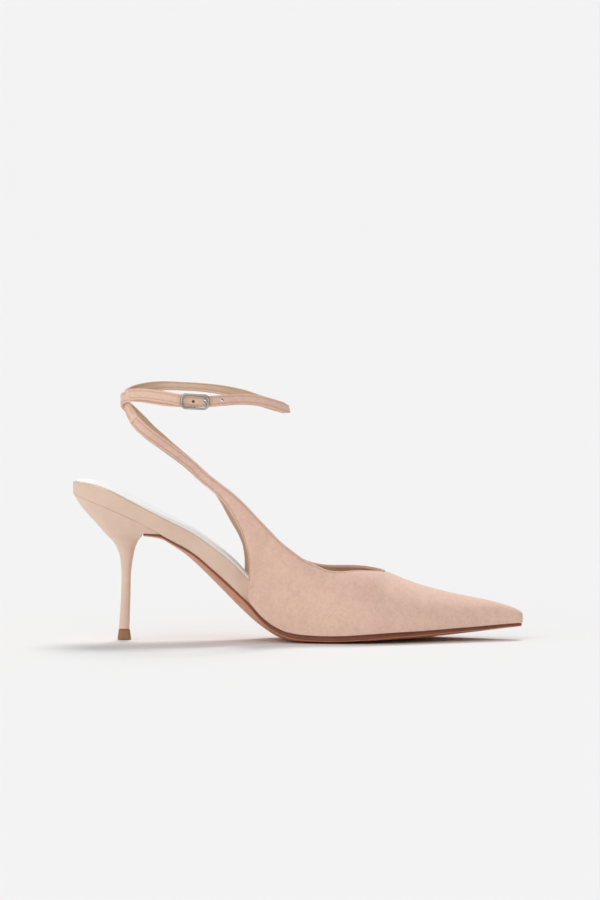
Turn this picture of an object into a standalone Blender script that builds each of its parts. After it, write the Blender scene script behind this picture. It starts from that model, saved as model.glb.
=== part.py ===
"""Ankle strap pump with open sides, right shoe: solids of every piece at real size.

Axes: +X to the toe, +Z up, -Y to the outer side that carries the buckle.
The origin is the middle of the heel tip on the floor. Tables are in millimetres.
"""

import math
from typing import NamedTuple

import bmesh
import bpy
from mathutils import Matrix, Vector

MM = 0.001
OBJECT_NAME = "ankle_strap_pump"

# Driving sizes
HEEL_BACK_X = -28.4
TOE_X = 221.6
SEAT_RADIUS = 23.0
TOE_RADIUS = 4.5
GAP = 0.3
WALL = 1.4
STRAP_WIDTH = 6.2
STRAP_THICKNESS = 1.5
OUTER, INNER = -1.0, 1.0

# Upper
UPPER_OVERHANG = 0.8
OVERHANG_FADE = 12.0
UPPER_FLARE = 1.6
FLARE_FADE = 30.0
BOARD_INSET = 2.4
WRAP_START_X = 61.0
WRAP_FULL_X = 68.0
WING_CORNER_X = 69.5
FEATHER_REACH = 6.0
THROAT_X = 145.0
THROAT_Y = 2.0
VAMP_WEIGHT = {OUTER: 0.66, INNER: 0.84}
TOE_WEIGHT = 0.75
TOE_BLEND = 16.0
WING_BLEND = 0.3
ACROSS = 8
VAMP_DEPTHS = (0.0, 0.5, 1.4, 2.8, 4.6, 7.0, 10.5, 15.0, 20.5, 27.0, 34.0, 41.0, 48.5, 56.0, 63.0, 70.0)
WING_STATIONS = 40

# Board, sock and outsole
BOARD_TOE_X = 217.0
BOARD_CUP = 1.3
BOARD_EDGE_ROUND = 0.9
EDGE_SHARE = 0.93
START_STEP = 0.05
SOCK_THICKNESS = 0.6
SOCK_INSET = 1.2
SOLE_BACK_X = 10.6
SOLE_TOE_X = 221.0
SOLE_BACK_ROUND = 4.0
SOLE_BACK_CUT = 0.6
BALL_FLAT = 0.5
BALL_START_X = 70.0
BALL_FULL_X = 98.0

# Heel
TIP_HEIGHT = 5.8
HEEL_LIP_X = 20.4
HEEL_RING = 24
HEEL_STATIONS = 24
HEEL_SIDE_POWER = 0.9
BREAST_POWER = 0.6
BREAST_SIDE_POWER = 0.8
SEAT_POWER = 0.35
SEAT_MIDDLE_X = (HEEL_BACK_X + HEEL_LIP_X) / 2 + 2.0
SEAT_SET_IN = 0.3
LIP_SET_IN = 0.6
SOLE_CLEARANCE = 0.8
FREE_SEAT = 0.2

# Ankle loop and buckle
LOOP_CENTRE = Vector((38.0, 0.0, 135.0))
BUCKLE_X = 39.4
BUCKLE_LENGTH = 16.2
BUCKLE_HEIGHT = 8.9
BUCKLE_WIRE = 0.65
BUCKLE_CORNER = 2.6
HOLE_USED_X = 45.2
HOLE_FREE_XS = (38.6, 54.3)
HOLE_RADIUS = 0.95
PRONG_RADIUS = 0.45
BAR_SHARE = 0.85
CUTTER_DEPTH = 6.0
SEARCH_STEPS = 2000
TIP_ROUND = 3.2


class LastRow(NamedTuple):
    """One section of the last's bottom: outline, feather edge and top of the board."""

    x: float
    half: float
    centre: float
    edge_z: float
    camber: float
    board_z: float


LAST = (
    LastRow(-28.4, 23.2, 0.0, 81.6, 0.0, 89.6),
    LastRow(-18.0, 23.4, 0.0, 77.9, 0.0, 87.9),
    LastRow(-8.4, 23.8, 0.0, 74.2, 0.0, 84.6),
    LastRow(4.0, 25.0, 0.0, 68.7, 0.2, 78.3),
    LastRow(15.4, 25.2, 0.0, 62.9, 0.9, 72.4),
    LastRow(26.6, 24.2, -0.3, 57.1, 2.6, 66.7),
    LastRow(37.7, 22.9, -0.9, 50.7, 3.8, 60.9),
    LastRow(48.8, 21.8, -1.7, 41.5, 5.2, 53.3),
    LastRow(59.9, 20.8, -2.6, 31.6, 6.4, 44.4),
    LastRow(68.5, 21.2, -3.6, 23.4, 6.2, 35.6),
    LastRow(76.6, 22.0, -4.3, 14.2, 3.4, 26.0),
    LastRow(83.6, 23.4, -4.6, 9.0, 2.1, 18.0),
    LastRow(91.6, 25.6, -4.4, 5.8, 1.8, 11.6),
    LastRow(101.0, 29.0, -3.2, 4.5, 1.2, 8.6),
    LastRow(112.0, 32.8, -1.5, 4.1, 1.0, 7.9),
    LastRow(121.6, 35.2, -0.3, 4.3, 1.2, 8.0),
    LastRow(136.6, 36.4, 1.0, 5.2, 1.5, 8.7),
    LastRow(151.6, 33.4, 1.5, 6.0, 1.5, 9.4),
    LastRow(166.6, 27.8, 1.8, 6.5, 1.2, 9.8),
    LastRow(181.6, 20.6, 2.1, 7.2, 0.9, 10.3),
    LastRow(196.6, 13.4, 2.5, 7.8, 0.5, 10.7),
    LastRow(209.1, 7.5, 2.7, 8.5, 0.3, 11.2),
    LastRow(217.9, 4.2, 2.8, 8.9, 0.1, 11.5),
    LastRow(221.6, 3.3, 2.8, 9.0, 0.0, 11.6),
)


class SoleRow(NamedTuple):
    """One section of the outsole: how far its edge is set in, room for the heel's lip, its edge."""

    x: float
    set_in: float
    lip_room: float
    edge_thick: float
    bottom_z: float


SOLE = (
    SoleRow(10.6, 16.5, 5.9, 1.1, 57.5),
    SoleRow(15.4, 12.6, 3.4, 1.2, 57.1),
    SoleRow(21.0, 8.6, 0.9, 1.3, 55.9),
    SoleRow(26.6, 5.2, 0.0, 1.4, 52.8),
    SoleRow(34.0, 2.6, 0.0, 1.5, 47.8),
    SoleRow(43.2, 1.6, 0.0, 1.6, 39.5),
    SoleRow(54.3, 1.4, 0.0, 1.8, 28.4),
    SoleRow(65.4, 1.2, 0.0, 2.0, 17.2),
    SoleRow(76.6, 1.0, 0.0, 2.3, 7.7),
    SoleRow(87.7, 0.9, 0.0, 2.5, 1.7),
    SoleRow(98.0, 0.9, 0.0, 2.8, 0.0),
    SoleRow(116.0, 0.9, 0.0, 2.8, 0.0),
    SoleRow(132.1, 0.9, 0.0, 2.8, 0.35),
    SoleRow(154.3, 0.9, 0.0, 2.5, 1.3),
    SoleRow(182.1, 0.8, 0.0, 2.1, 3.5),
    SoleRow(209.9, 0.7, 0.0, 1.7, 6.2),
    SoleRow(221.6, 0.6, 0.0, 1.4, 7.3),
)


class RidgeRow(NamedTuple):
    """Height of the top of the vamp along its centre line."""

    x: float
    z: float


RIDGE = (
    RidgeRow(145.0, 37.9),
    RidgeRow(148.8, 36.6),
    RidgeRow(154.3, 34.2),
    RidgeRow(159.9, 32.0),
    RidgeRow(165.4, 30.2),
    RidgeRow(171.0, 28.6),
    RidgeRow(182.1, 25.8),
    RidgeRow(193.2, 23.6),
    RidgeRow(204.3, 21.3),
    RidgeRow(209.9, 19.8),
    RidgeRow(215.5, 18.0),
    RidgeRow(219.3, 16.3),
    RidgeRow(221.0, 14.9),
    RidgeRow(221.6, 14.0),
)


class WingRow(NamedTuple):
    """One section of a wing from its lower edge, by a fullness point, to its top edge."""

    low_x: float
    low_y: float
    low_z: float
    full_y: float
    full_z: float
    top_x: float
    top_y: float
    top_z: float


# Sections whose lower edge is lasted take low_y and low_z from the feather edge.
LASTED = math.nan

OUTER_WING = (
    WingRow(145.0, LASTED, LASTED, -36.3, 37.9, 145.0, 2.0, 37.9),
    WingRow(143.0, LASTED, LASTED, -36.6, 38.0, 144.0, -3.0, 38.3),
    WingRow(140.0, LASTED, LASTED, -36.9, 37.6, 141.0, -8.6, 38.9),
    WingRow(135.0, LASTED, LASTED, -37.0, 36.2, 134.8, -15.2, 39.6),
    WingRow(129.0, LASTED, LASTED, -37.0, 34.0, 127.5, -20.2, 39.9),
    WingRow(122.0, LASTED, LASTED, -36.4, 31.0, 120.5, -22.4, 39.5),
    WingRow(114.0, LASTED, LASTED, -35.2, 28.5, 113.5, -23.2, 40.2),
    WingRow(105.0, LASTED, LASTED, -33.6, 28.5, 106.5, -23.6, 43.1),
    WingRow(96.0, LASTED, LASTED, -32.0, 30.0, 100.0, -24.0, 46.3),
    WingRow(87.5, LASTED, LASTED, -30.6, 32.0, 94.0, -24.4, 50.6),
    WingRow(78.5, LASTED, LASTED, -29.2, 35.0, 88.5, -24.8, 55.0),
    WingRow(69.5, LASTED, LASTED, -28.6, 41.0, 83.5, -25.2, 59.6),
    WingRow(69.3, -26.8, 34.1, -29.2, 49.5, 79.5, -25.6, 64.0),
    WingRow(69.3, -27.8, 44.7, -29.4, 56.5, 76.0, -26.0, 67.8),
    WingRow(68.2, -28.2, 51.7, -29.4, 62.0, 72.3, -26.4, 71.7),
    WingRow(66.0, -28.5, 59.2, -29.3, 68.0, 69.2, -26.8, 75.1),
    WingRow(62.0, -28.8, 67.8, -29.3, 75.0, 65.6, -27.2, 78.8),
    WingRow(56.2, -28.8, 76.9, -28.9, 81.3, 59.8, -27.6, 84.0),
    WingRow(49.8, -28.5, 83.6, -28.4, 87.0, 53.2, -27.6, 89.1),
)

INNER_WING = (
    WingRow(145.0, LASTED, LASTED, 38.7, 37.9, 145.0, 2.0, 37.9),
    WingRow(143.0, LASTED, LASTED, 39.0, 38.0, 144.0, 7.0, 38.3),
    WingRow(140.0, LASTED, LASTED, 39.2, 37.8, 141.0, 12.0, 38.8),
    WingRow(135.0, LASTED, LASTED, 39.2, 36.8, 134.8, 18.0, 39.6),
    WingRow(129.0, LASTED, LASTED, 38.8, 35.5, 127.5, 22.4, 39.9),
    WingRow(122.0, LASTED, LASTED, 37.6, 33.0, 120.5, 24.0, 39.8),
    WingRow(114.0, LASTED, LASTED, 35.0, 31.5, 113.5, 24.6, 39.9),
    WingRow(105.0, LASTED, LASTED, 31.4, 31.5, 106.0, 25.0, 41.0),
    WingRow(96.0, LASTED, LASTED, 27.6, 32.5, 99.0, 25.2, 43.4),
    WingRow(87.0, LASTED, LASTED, 24.8, 34.0, 92.5, 25.4, 48.0),
    WingRow(77.5, LASTED, LASTED, 23.2, 36.5, 86.5, 25.6, 53.0),
    WingRow(67.6, LASTED, LASTED, 22.6, 40.5, 81.0, 25.8, 58.6),
    WingRow(66.9, 20.4, 34.5, 24.6, 49.0, 77.0, 26.0, 62.9),
    WingRow(66.9, 22.6, 43.6, 26.0, 55.5, 73.2, 26.2, 66.6),
    WingRow(65.9, 24.2, 50.1, 26.8, 60.5, 69.6, 26.4, 70.2),
    WingRow(63.2, 25.4, 56.8, 27.3, 66.0, 66.2, 26.8, 73.7),
    WingRow(58.2, 26.6, 65.4, 27.7, 72.5, 62.6, 27.2, 77.1),
    WingRow(53.6, 27.2, 74.0, 27.9, 78.5, 57.8, 27.4, 81.2),
    WingRow(49.6, 27.4, 80.0, 27.8, 82.8, 53.4, 27.5, 84.9),
)


class StrapRow(NamedTuple):
    """One point of a strap's middle line, with the lean of its top edge outwards in degrees."""

    x: float
    y: float
    z: float
    lean: float


OUTER_RISE = (
    StrapRow(43.2, -27.6, 93.0, -14.0),
    StrapRow(37.9, -26.8, 98.1, -35.0),
    StrapRow(32.3, -25.6, 102.3, -42.0),
    StrapRow(26.8, -23.9, 106.3, -42.0),
    StrapRow(21.2, -21.6, 110.3, -40.0),
    StrapRow(15.6, -18.6, 114.1, -35.0),
    StrapRow(10.0, -14.8, 118.5, -24.0),
    StrapRow(6.2, -11.4, 122.4, -12.0),
)

INNER_RISE = (
    StrapRow(45.4, 27.4, 87.4, -4.0),
    StrapRow(38.6, 26.8, 93.6, -10.0),
    StrapRow(31.4, 25.5, 100.0, -16.0),
    StrapRow(25.0, 23.8, 105.6, -18.0),
    StrapRow(19.2, 21.0, 111.1, -16.0),
    StrapRow(14.0, 17.8, 115.9, -12.0),
    StrapRow(9.6, 14.4, 120.8, -6.0),
)

# Goes on from the outer rising strap, inside the crossing, round the far side and back.
ANKLE_STRAP = (
    StrapRow(5.9, -11.1, 122.8, -12.0),
    StrapRow(3.0, -7.2, 127.6, -6.0),
    StrapRow(1.2, -2.6, 131.9, 0.0),
    StrapRow(1.2, 2.2, 135.2, 6.0),
    StrapRow(4.4, 8.6, 137.4, 16.0),
    StrapRow(11.0, 14.8, 139.0, 28.0),
    StrapRow(21.0, 20.0, 140.1, 46.0),
    StrapRow(32.0, 22.8, 139.7, 52.0),
    StrapRow(43.0, 23.4, 139.0, 52.0),
    StrapRow(54.0, 21.8, 137.7, 47.0),
    StrapRow(65.5, 17.6, 135.3, 33.0),
    StrapRow(75.0, 12.4, 132.4, 10.0),
    StrapRow(84.0, 6.8, 129.9, -4.0),
    StrapRow(90.0, 2.8, 128.5, -10.0),
    StrapRow(91.2, -0.6, 128.2, -13.0),
    StrapRow(89.4, -4.2, 128.9, -18.0),
    StrapRow(82.6, -9.4, 131.6, -26.0),
    StrapRow(74.0, -14.8, 133.8, -28.0),
    StrapRow(64.7, -19.4, 134.7, -30.0),
    StrapRow(55.0, -23.2, 134.4, -24.0),
    StrapRow(47.0, -25.5, 134.0, -10.0),
    StrapRow(39.4, -26.3, 134.0, 0.0),
    StrapRow(31.5, -26.3, 134.9, 0.0),
    StrapRow(24.0, -24.9, 136.2, 0.0),
    StrapRow(15.0, -21.5, 137.4, 0.0),
    StrapRow(7.4, -17.0, 137.6, 0.0),
    StrapRow(1.3, -11.6, 136.6, 0.0),
)

# Goes on from the inner rising strap, outside the crossing, to the bar of the buckle.
BUCKLE_STRAP = (
    StrapRow(9.3, 14.2, 121.2, -6.0),
    StrapRow(4.9, 10.2, 125.9, -2.0),
    StrapRow(1.2, 6.3, 129.6, 0.0),
    StrapRow(-1.0, 1.4, 132.3, 0.0),
    StrapRow(-0.6, -4.2, 134.5, 0.0),
    StrapRow(3.2, -10.0, 135.9, 0.0),
    StrapRow(9.0, -15.2, 136.1, 0.0),
    StrapRow(16.0, -19.4, 135.3, 0.0),
    StrapRow(24.0, -22.6, 134.3, 0.0),
    StrapRow(31.5, -24.1, 133.9, 0.0),
    StrapRow(38.2, -24.35, 133.9, 0.0),
)


class HeelRow(NamedTuple):
    """One section of the heel: its back and front points, half width and share of seat outline."""

    back_x: float
    back_z: float
    front_x: float
    front_z: float
    half: float
    seat: float


HEEL = (
    HeelRow(-3.0, 6.1, 2.9, 6.1, 4.0, 0.0),
    HeelRow(-2.6, 12.0, 3.1, 12.0, 3.9, 0.0),
    HeelRow(-1.8, 26.0, 3.5, 26.0, 3.9, 0.0),
    HeelRow(-1.7, 40.0, 4.0, 39.2, 4.4, 0.0),
    HeelRow(-2.8, 47.5, 5.1, 46.4, 5.8, 0.0),
    HeelRow(-5.5, 53.7, 6.7, 52.6, 8.6, 0.0),
    HeelRow(-9.6, 59.0, 9.3, 57.4, 12.6, 0.05),
    HeelRow(-13.2, 65.2, 12.8, 58.8, 17.0, 0.22),
    HeelRow(-18.8, 71.8, 16.8, 58.9, 21.3, 0.6),
    HeelRow(-24.9, 78.6, 19.6, 58.9, 23.6, 0.95),
)
HEEL_SEAT_RINGS = (1.0, 0.8, 0.55, 0.3, 0.08)


class Finish(NamedTuple):
    """Colour, roughness and metallic value of a material."""

    colour: tuple
    roughness: float
    metallic: float


FINISHES = {
    "suede": Finish((0.72, 0.48, 0.38), 0.9, 0.0),
    "covered_leather": Finish((0.71, 0.52, 0.42), 0.5, 0.0),
    "sock_leather": Finish((0.86, 0.8, 0.68), 0.6, 0.0),
    "sole_leather": Finish((0.31, 0.12, 0.06), 0.4, 0.0),
    "top_piece": Finish((0.24, 0.13, 0.07), 0.55, 0.0),
    "nickel": Finish((0.66, 0.65, 0.62), 0.3, 1.0),
}


class Profile:
    """Smooth curve through values at rising positions, without overshoot."""

    def __init__(self, positions, values):
        self.positions = list(positions)
        self.values = list(values)
        spans = [b - a for a, b in zip(self.positions, self.positions[1:])]
        rises = [(b - a) / s for a, b, s in zip(self.values, self.values[1:], spans)]
        self.slopes = [rises[0]]
        for before, after in zip(rises, rises[1:]):
            same_way = before * after > 0
            self.slopes.append(2 * before * after / (before + after) if same_way else 0.0)
        self.slopes.append(rises[-1])

    def __call__(self, position):
        position = min(max(position, self.positions[0]), self.positions[-1])
        index = 0
        while index < len(self.positions) - 2 and position > self.positions[index + 1]:
            index += 1
        span = self.positions[index + 1] - self.positions[index]
        share = (position - self.positions[index]) / span
        return hermite(
            self.values[index], self.values[index + 1],
            self.slopes[index] * span, self.slopes[index + 1] * span, share,
        )


def hermite(start, end, start_slope, end_slope, share):
    """Cubic value between two ends with given slopes."""
    square, cube = share * share, share**3
    return (
        start * (2 * cube - 3 * square + 1)
        + end * (3 * square - 2 * cube)
        + start_slope * (cube - 2 * square + share)
        + end_slope * (cube - square)
    )


class Path:
    """Smooth curve through rows of numbers, spaced by the distance between given columns."""

    def __init__(self, rows, columns):
        self.rows = [tuple(row) for row in rows]
        self.knots = [0.0]
        for before, after in zip(self.rows, self.rows[1:]):
            step = math.sqrt(sum((after[c] - before[c]) ** 2 for c in columns))
            self.knots.append(self.knots[-1] + max(step, 1e-6))

    def slope(self, index, column):
        """Slope of one column at a knot, from the parabola through its neighbours."""
        last = len(self.knots) - 1
        low, high = max(index - 1, 0), min(index + 1, last)
        if low == index or high == index:
            rise = self.rows[high][column] - self.rows[low][column]
            return rise / (self.knots[high] - self.knots[low])
        before = self.knots[index] - self.knots[low]
        after = self.knots[high] - self.knots[index]
        rise_before = (self.rows[index][column] - self.rows[low][column]) / before
        rise_after = (self.rows[high][column] - self.rows[index][column]) / after
        return (rise_before * after + rise_after * before) / (before + after)

    def at(self, share):
        """All columns at a share of the whole length."""
        place = share * self.knots[-1]
        index = 0
        while index < len(self.knots) - 2 and place > self.knots[index + 1]:
            index += 1
        span = self.knots[index + 1] - self.knots[index]
        part = (place - self.knots[index]) / span
        return [
            hermite(
                self.rows[index][c], self.rows[index + 1][c],
                self.slope(index, c) * span, self.slope(index + 1, c) * span, part,
            )
            for c in range(len(self.rows[0]))
        ]


def column(rows, name):
    """Profile of one named column of a table against its x."""
    return Profile([row.x for row in rows], [getattr(row, name) for row in rows])


last_half = column(LAST, "half")
last_centre = column(LAST, "centre")
edge_z = column(LAST, "edge_z")
camber = column(LAST, "camber")
board_z = column(LAST, "board_z")
sole_set_in = column(SOLE, "set_in")
sole_lip_room = column(SOLE, "lip_room")
sole_edge_thick = column(SOLE, "edge_thick")
sole_bottom_z = column(SOLE, "bottom_z")
ridge_z = column(RIDGE, "z")


def round_end(distance, radius):
    """Share of the full breadth at a distance from a round end."""
    if distance >= radius:
        return 1.0
    return math.sqrt(max(0.0, 1.0 - (1.0 - max(distance, 0.0) / radius) ** 2))


def outline_half(x):
    """Half breadth of the last's outline with its round seat and toe."""
    seat = round_end(x - HEEL_BACK_X, SEAT_RADIUS)
    toe = round_end(TOE_X - x, TOE_RADIUS)
    return last_half(x) * seat * toe


def smooth_step(low, high, value):
    """Soft step from 0 to 1 between two values."""
    share = min(max((value - low) / (high - low), 0.0), 1.0)
    return share * share * (3 - 2 * share)


def board_half(x):
    """Half breadth of the insole board, set in where the upper wraps it."""
    inset = BOARD_INSET * smooth_step(WRAP_START_X, WRAP_FULL_X, x)
    toe = round_end(BOARD_TOE_X - x, TOE_RADIUS)
    seat = round_end(x - HEEL_BACK_X, SEAT_RADIUS)
    return max((last_half(x) - inset) * seat * toe, 0.0)


def across_share(x, y):
    """Place of a point across the last, from -1 on the outer edge to 1 on the inner."""
    half = max(last_half(x), 1.0)
    return min(max((y - last_centre(x)) / half, -1.0), 1.0)


def board_bottom(x, y):
    """Height of the underside of the insole board."""
    return edge_z(x) - camber(x) * (1.0 - across_share(x, y) ** 2)


def board_top(x, y):
    """Height of the top of the insole board, cupped across."""
    return board_z(x) - BOARD_CUP * (1.0 - across_share(x, y) ** 2)


def sole_half(x):
    """Half breadth of the outsole."""
    back = round_end(x - SOLE_BACK_X + SOLE_BACK_CUT, SOLE_BACK_ROUND)
    toe = round_end(SOLE_TOE_X - x, TOE_RADIUS)
    return (last_half(x) - sole_set_in(x)) * back * toe


def sole_top(x, y):
    """Height of the top of the outsole, lower under the heel's lip."""
    return board_bottom(x, y) - GAP - sole_lip_room(x)


def sole_bottom(x, y):
    """Height of the outsole's underside: a flat middle, rising to the edges."""
    half = max(sole_half(x), 0.5)
    share = min(abs(y - last_centre(x)) / half, 1.0)
    edge_y = last_centre(x) + half
    edge = sole_top(x, edge_y) - sole_edge_thick(x)
    flat = BALL_FLAT * smooth_step(BALL_START_X, BALL_FULL_X, x)
    rise = max(0.0, (share - flat) / (1.0 - flat))
    return sole_bottom_z(x) + max(edge - sole_bottom_z(x), 0.0) * rise * rise


def new_material(name):
    """Plain material of a finish."""
    finish = FINISHES[name]
    material = bpy.data.materials.new(name)
    material.use_nodes = True
    shader = material.node_tree.nodes["Principled BSDF"]
    shader.inputs["Base Color"].default_value = (*finish.colour, 1.0)
    shader.inputs["Roughness"].default_value = finish.roughness
    shader.inputs["Metallic"].default_value = finish.metallic
    return material


class Workshop:
    """Holds the collections and makes objects in them."""

    def __init__(self):
        for item in list(bpy.data.objects):
            bpy.data.objects.remove(item)
        self.parts = self.new_collection(OBJECT_NAME)
        self.cutters = self.new_collection("cutters")
        self.materials = {name: new_material(name) for name in FINISHES}

    @staticmethod
    def new_collection(name):
        """Collection linked to the scene."""
        collection = bpy.data.collections.new(name)
        bpy.context.scene.collection.children.link(collection)
        return collection

    def add_mesh(self, name, mesh, finish):
        """Object of a mesh with its finish, among the parts."""
        item = bpy.data.objects.new(name, mesh)
        item.data.materials.append(self.materials[finish])
        self.parts.objects.link(item)
        return item

    def add_wire(self, name, points, radius, closed=False):
        """Curve object along points given in metres."""
        curve = bpy.data.curves.new(name, "CURVE")
        curve.dimensions = "3D"
        curve.bevel_depth = radius * MM
        curve.bevel_resolution = 2
        curve.use_fill_caps = not closed
        spline = curve.splines.new("POLY")
        spline.points.add(len(points) - 1)
        spline.use_cyclic_u = closed
        for target, point in zip(spline.points, points):
            target.co = (*point, 1.0)
        item = bpy.data.objects.new(name, curve)
        self.parts.objects.link(item)
        return item

    def curve_to_mesh(self, item, name):
        """Welded mesh object in place of a curve object."""
        bpy.context.view_layer.update()
        graph = bpy.context.evaluated_depsgraph_get()
        mesh = bpy.data.meshes.new_from_object(item.evaluated_get(graph))
        mesh.transform(item.matrix_world)
        bpy.data.objects.remove(item)
        shape = bmesh.new()
        shape.from_mesh(mesh)
        bmesh.ops.remove_doubles(shape, verts=shape.verts, dist=0.00001)
        bmesh.ops.recalc_face_normals(shape, faces=shape.faces)
        shape.to_mesh(mesh)
        shape.free()
        mesh.materials.clear()
        mesh.name = name
        return mesh

    def cut(self, item, cutter, operation):
        """Exact Boolean of an object with a cutter that is kept apart and hidden."""
        cutter.hide_render = True
        cutter.display_type = "WIRE"
        modifier = item.modifiers.new(cutter.name, "BOOLEAN")
        modifier.solver = "EXACT"
        modifier.operation = operation
        modifier.object = cutter


def mesh_from_rings(name, rings):
    """Closed mesh through rings of equal count, with a flat face on each end."""
    mesh = bpy.data.meshes.new(name)
    shape = bmesh.new()
    layers = [[shape.verts.new(point * MM) for point in ring] for ring in rings]
    count = len(layers[0])
    for low, high in zip(layers, layers[1:]):
        for index in range(count):
            after = (index + 1) % count
            shape.faces.new((low[index], low[after], high[after], high[index]))
    shape.faces.new(reversed(layers[0]))
    shape.faces.new(layers[-1])
    bmesh.ops.recalc_face_normals(shape, faces=shape.faces)
    shape.to_mesh(mesh)
    shape.free()
    return mesh


def plate_ring(x, half, top, bottom, count, edge_round):
    """Ring around a plate's section at x, from its outer edge over the top and back below."""
    centre = last_centre(x)
    ring = []
    for side, height in ((1, top), (-1, bottom)):
        for step in range(count):
            share = -math.cos(math.pi * (step + 0.5) / count) * side
            y = centre + half * share
            z = height(x, y)
            softened = edge_round * max(0.0, abs(share) - EDGE_SHARE) / (1.0 - EDGE_SHARE)
            ring.append(Vector((x, y, z - side * softened)))
    return ring


def spaced(start, end, count, start_bias, end_bias):
    """Stations from start to end that crowd towards biased ends."""
    stations = []
    for index in range(count + 1):
        share = index / count
        crowded = 0.5 - 0.5 * math.cos(math.pi * share)
        bias = start_bias * (1 - share) + end_bias * share
        stations.append(start + (end - start) * (crowded * bias + share * (1 - bias)))
    return stations


def build_board(workshop):
    """Insole board that fills the shoe's bottom and shows as a band behind the wings."""
    rings = []
    for x in spaced(HEEL_BACK_X + START_STEP, BOARD_TOE_X - START_STEP, 46, 0.8, 0.8):
        rings.append(plate_ring(x, board_half(x), board_top, board_bottom, 8, BOARD_EDGE_ROUND))
    return workshop.add_mesh("insole_board", mesh_from_rings("insole_board", rings), "covered_leather")


def build_sock(workshop):
    """Thin sock that lines the board's top."""

    def low(x, y):
        return board_top(x, y) + GAP

    def high(x, y):
        return low(x, y) + SOCK_THICKNESS

    rings = []
    start, end = HEEL_BACK_X + SOCK_INSET, BOARD_TOE_X - 2 * SOCK_INSET
    for x in spaced(start + START_STEP, end - START_STEP, 38, 0.8, 0.8):
        shrink = round_end(x - start, SEAT_RADIUS) * round_end(end - x, TOE_RADIUS)
        inset = SOCK_INSET + BOARD_INSET * smooth_step(WRAP_START_X, WRAP_FULL_X, x)
        half = (last_half(x) - inset) * shrink
        rings.append(plate_ring(x, half, high, low, 7, 0.0))
    return workshop.add_mesh("insole_sock", mesh_from_rings("insole_sock", rings), "sock_leather")


def build_outsole(workshop):
    """Outsole with its arch, toe spring, round waist and flat ball."""
    rings = []
    for x in spaced(SOLE_BACK_X, SOLE_TOE_X - START_STEP, 44, 0.5, 0.8):
        rings.append(plate_ring(x, sole_half(x), sole_top, sole_bottom, 10, 0.0))
    return workshop.add_mesh("outsole", mesh_from_rings("outsole", rings), "sole_leather")


def heel_ring(row, scale=1.0):
    """Ring of a heel section: round at the back, flatter in front, blended into the seat."""
    back_x, back_z, front_x, front_z, half, seat = row
    middle = (back_x + front_x) / 2
    reach = (front_x - back_x) / 2
    ring = []
    for index in range(HEEL_RING):
        angle = math.tau * index / HEEL_RING
        cosine, sine = math.cos(angle), math.sin(angle)
        in_front = cosine > 0
        along = math.copysign(abs(cosine) ** (BREAST_POWER if in_front else 1.0), cosine)
        side_power = BREAST_SIDE_POWER if in_front else HEEL_SIDE_POWER
        across = math.copysign(abs(sine) ** side_power, sine)
        x, y = middle + reach * along, half * across
        if in_front:
            seat_x = SEAT_MIDDLE_X + (HEEL_LIP_X - SEAT_MIDDLE_X) * abs(cosine) ** SEAT_POWER
            seat_y = math.copysign(abs(sine) ** SEAT_POWER, sine) * (outline_half(seat_x) - LIP_SET_IN)
        else:
            seat_x = SEAT_MIDDLE_X + (SEAT_MIDDLE_X - HEEL_BACK_X - SEAT_SET_IN) * cosine
            seat_y = math.copysign(max(outline_half(seat_x) - SEAT_SET_IN, 0.0), sine)
        place = (x - back_x) / (front_x - back_x)
        z = back_z + (front_z - back_z) * place
        top = board_bottom(seat_x, seat_y) - GAP
        x, y = x + (seat_x - x) * seat, y + (seat_y - y) * seat
        z = z + (top - z) * seat**2
        ring.append((x, y, z))
    mean_x = sum(point[0] for point in ring) / len(ring)
    fitted = []
    for x, y, z in ring:
        x, y = mean_x + (x - mean_x) * scale, y * scale
        if x > SOLE_BACK_X - SOLE_CLEARANCE:
            z = max(z, sole_top(max(x, SOLE_BACK_X), y) + GAP)
        if seat > FREE_SEAT:
            z = min(z, board_bottom(x, y) - GAP)
        if scale < 1.0:
            z = board_bottom(x, y) - GAP
        fitted.append(Vector((x, y, z)))
    return fitted


def build_heel(workshop):
    """Stiletto heel from its foot to the seat that carries the board."""
    path = Path(HEEL, (0, 1, 2, 3))
    rings = [heel_ring(path.at(index / HEEL_STATIONS)) for index in range(HEEL_STATIONS + 1)]
    seat = HEEL[-1]._replace(seat=1.0)
    rings += [heel_ring(seat, scale) for scale in HEEL_SEAT_RINGS]
    return workshop.add_mesh("heel", mesh_from_rings("heel", rings), "covered_leather")


def build_heel_tip(workshop):
    """Top piece that stands on the floor."""
    rows = (
        (-3.75, 0.0, 3.75, 0.0, 4.15, 0.0),
        (-3.8, 0.5, 3.8, 0.5, 4.25, 0.0),
        (-3.05, TIP_HEIGHT, 3.05, TIP_HEIGHT, 4.05, 0.0),
    )
    rings = [heel_ring(row) for row in rows]
    return workshop.add_mesh("heel_tip", mesh_from_rings("heel_tip", rings), "top_piece")


def feather_point(x, side):
    """Point of the upper's lower edge on the outsole."""
    y = last_centre(x) + side * (outline_half(x) + UPPER_OVERHANG * round_end(TOE_X - x, OVERHANG_FADE))
    return Vector((x, y, edge_z(x) + GAP))


def conic(start, control, end, weight, share):
    """Point of a conic arc with a given fullness."""
    first, second, third = (1 - share) ** 2, 2 * weight * share * (1 - share), share**2
    return (start * first + control * second + end * third) / (first + second + third)


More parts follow.
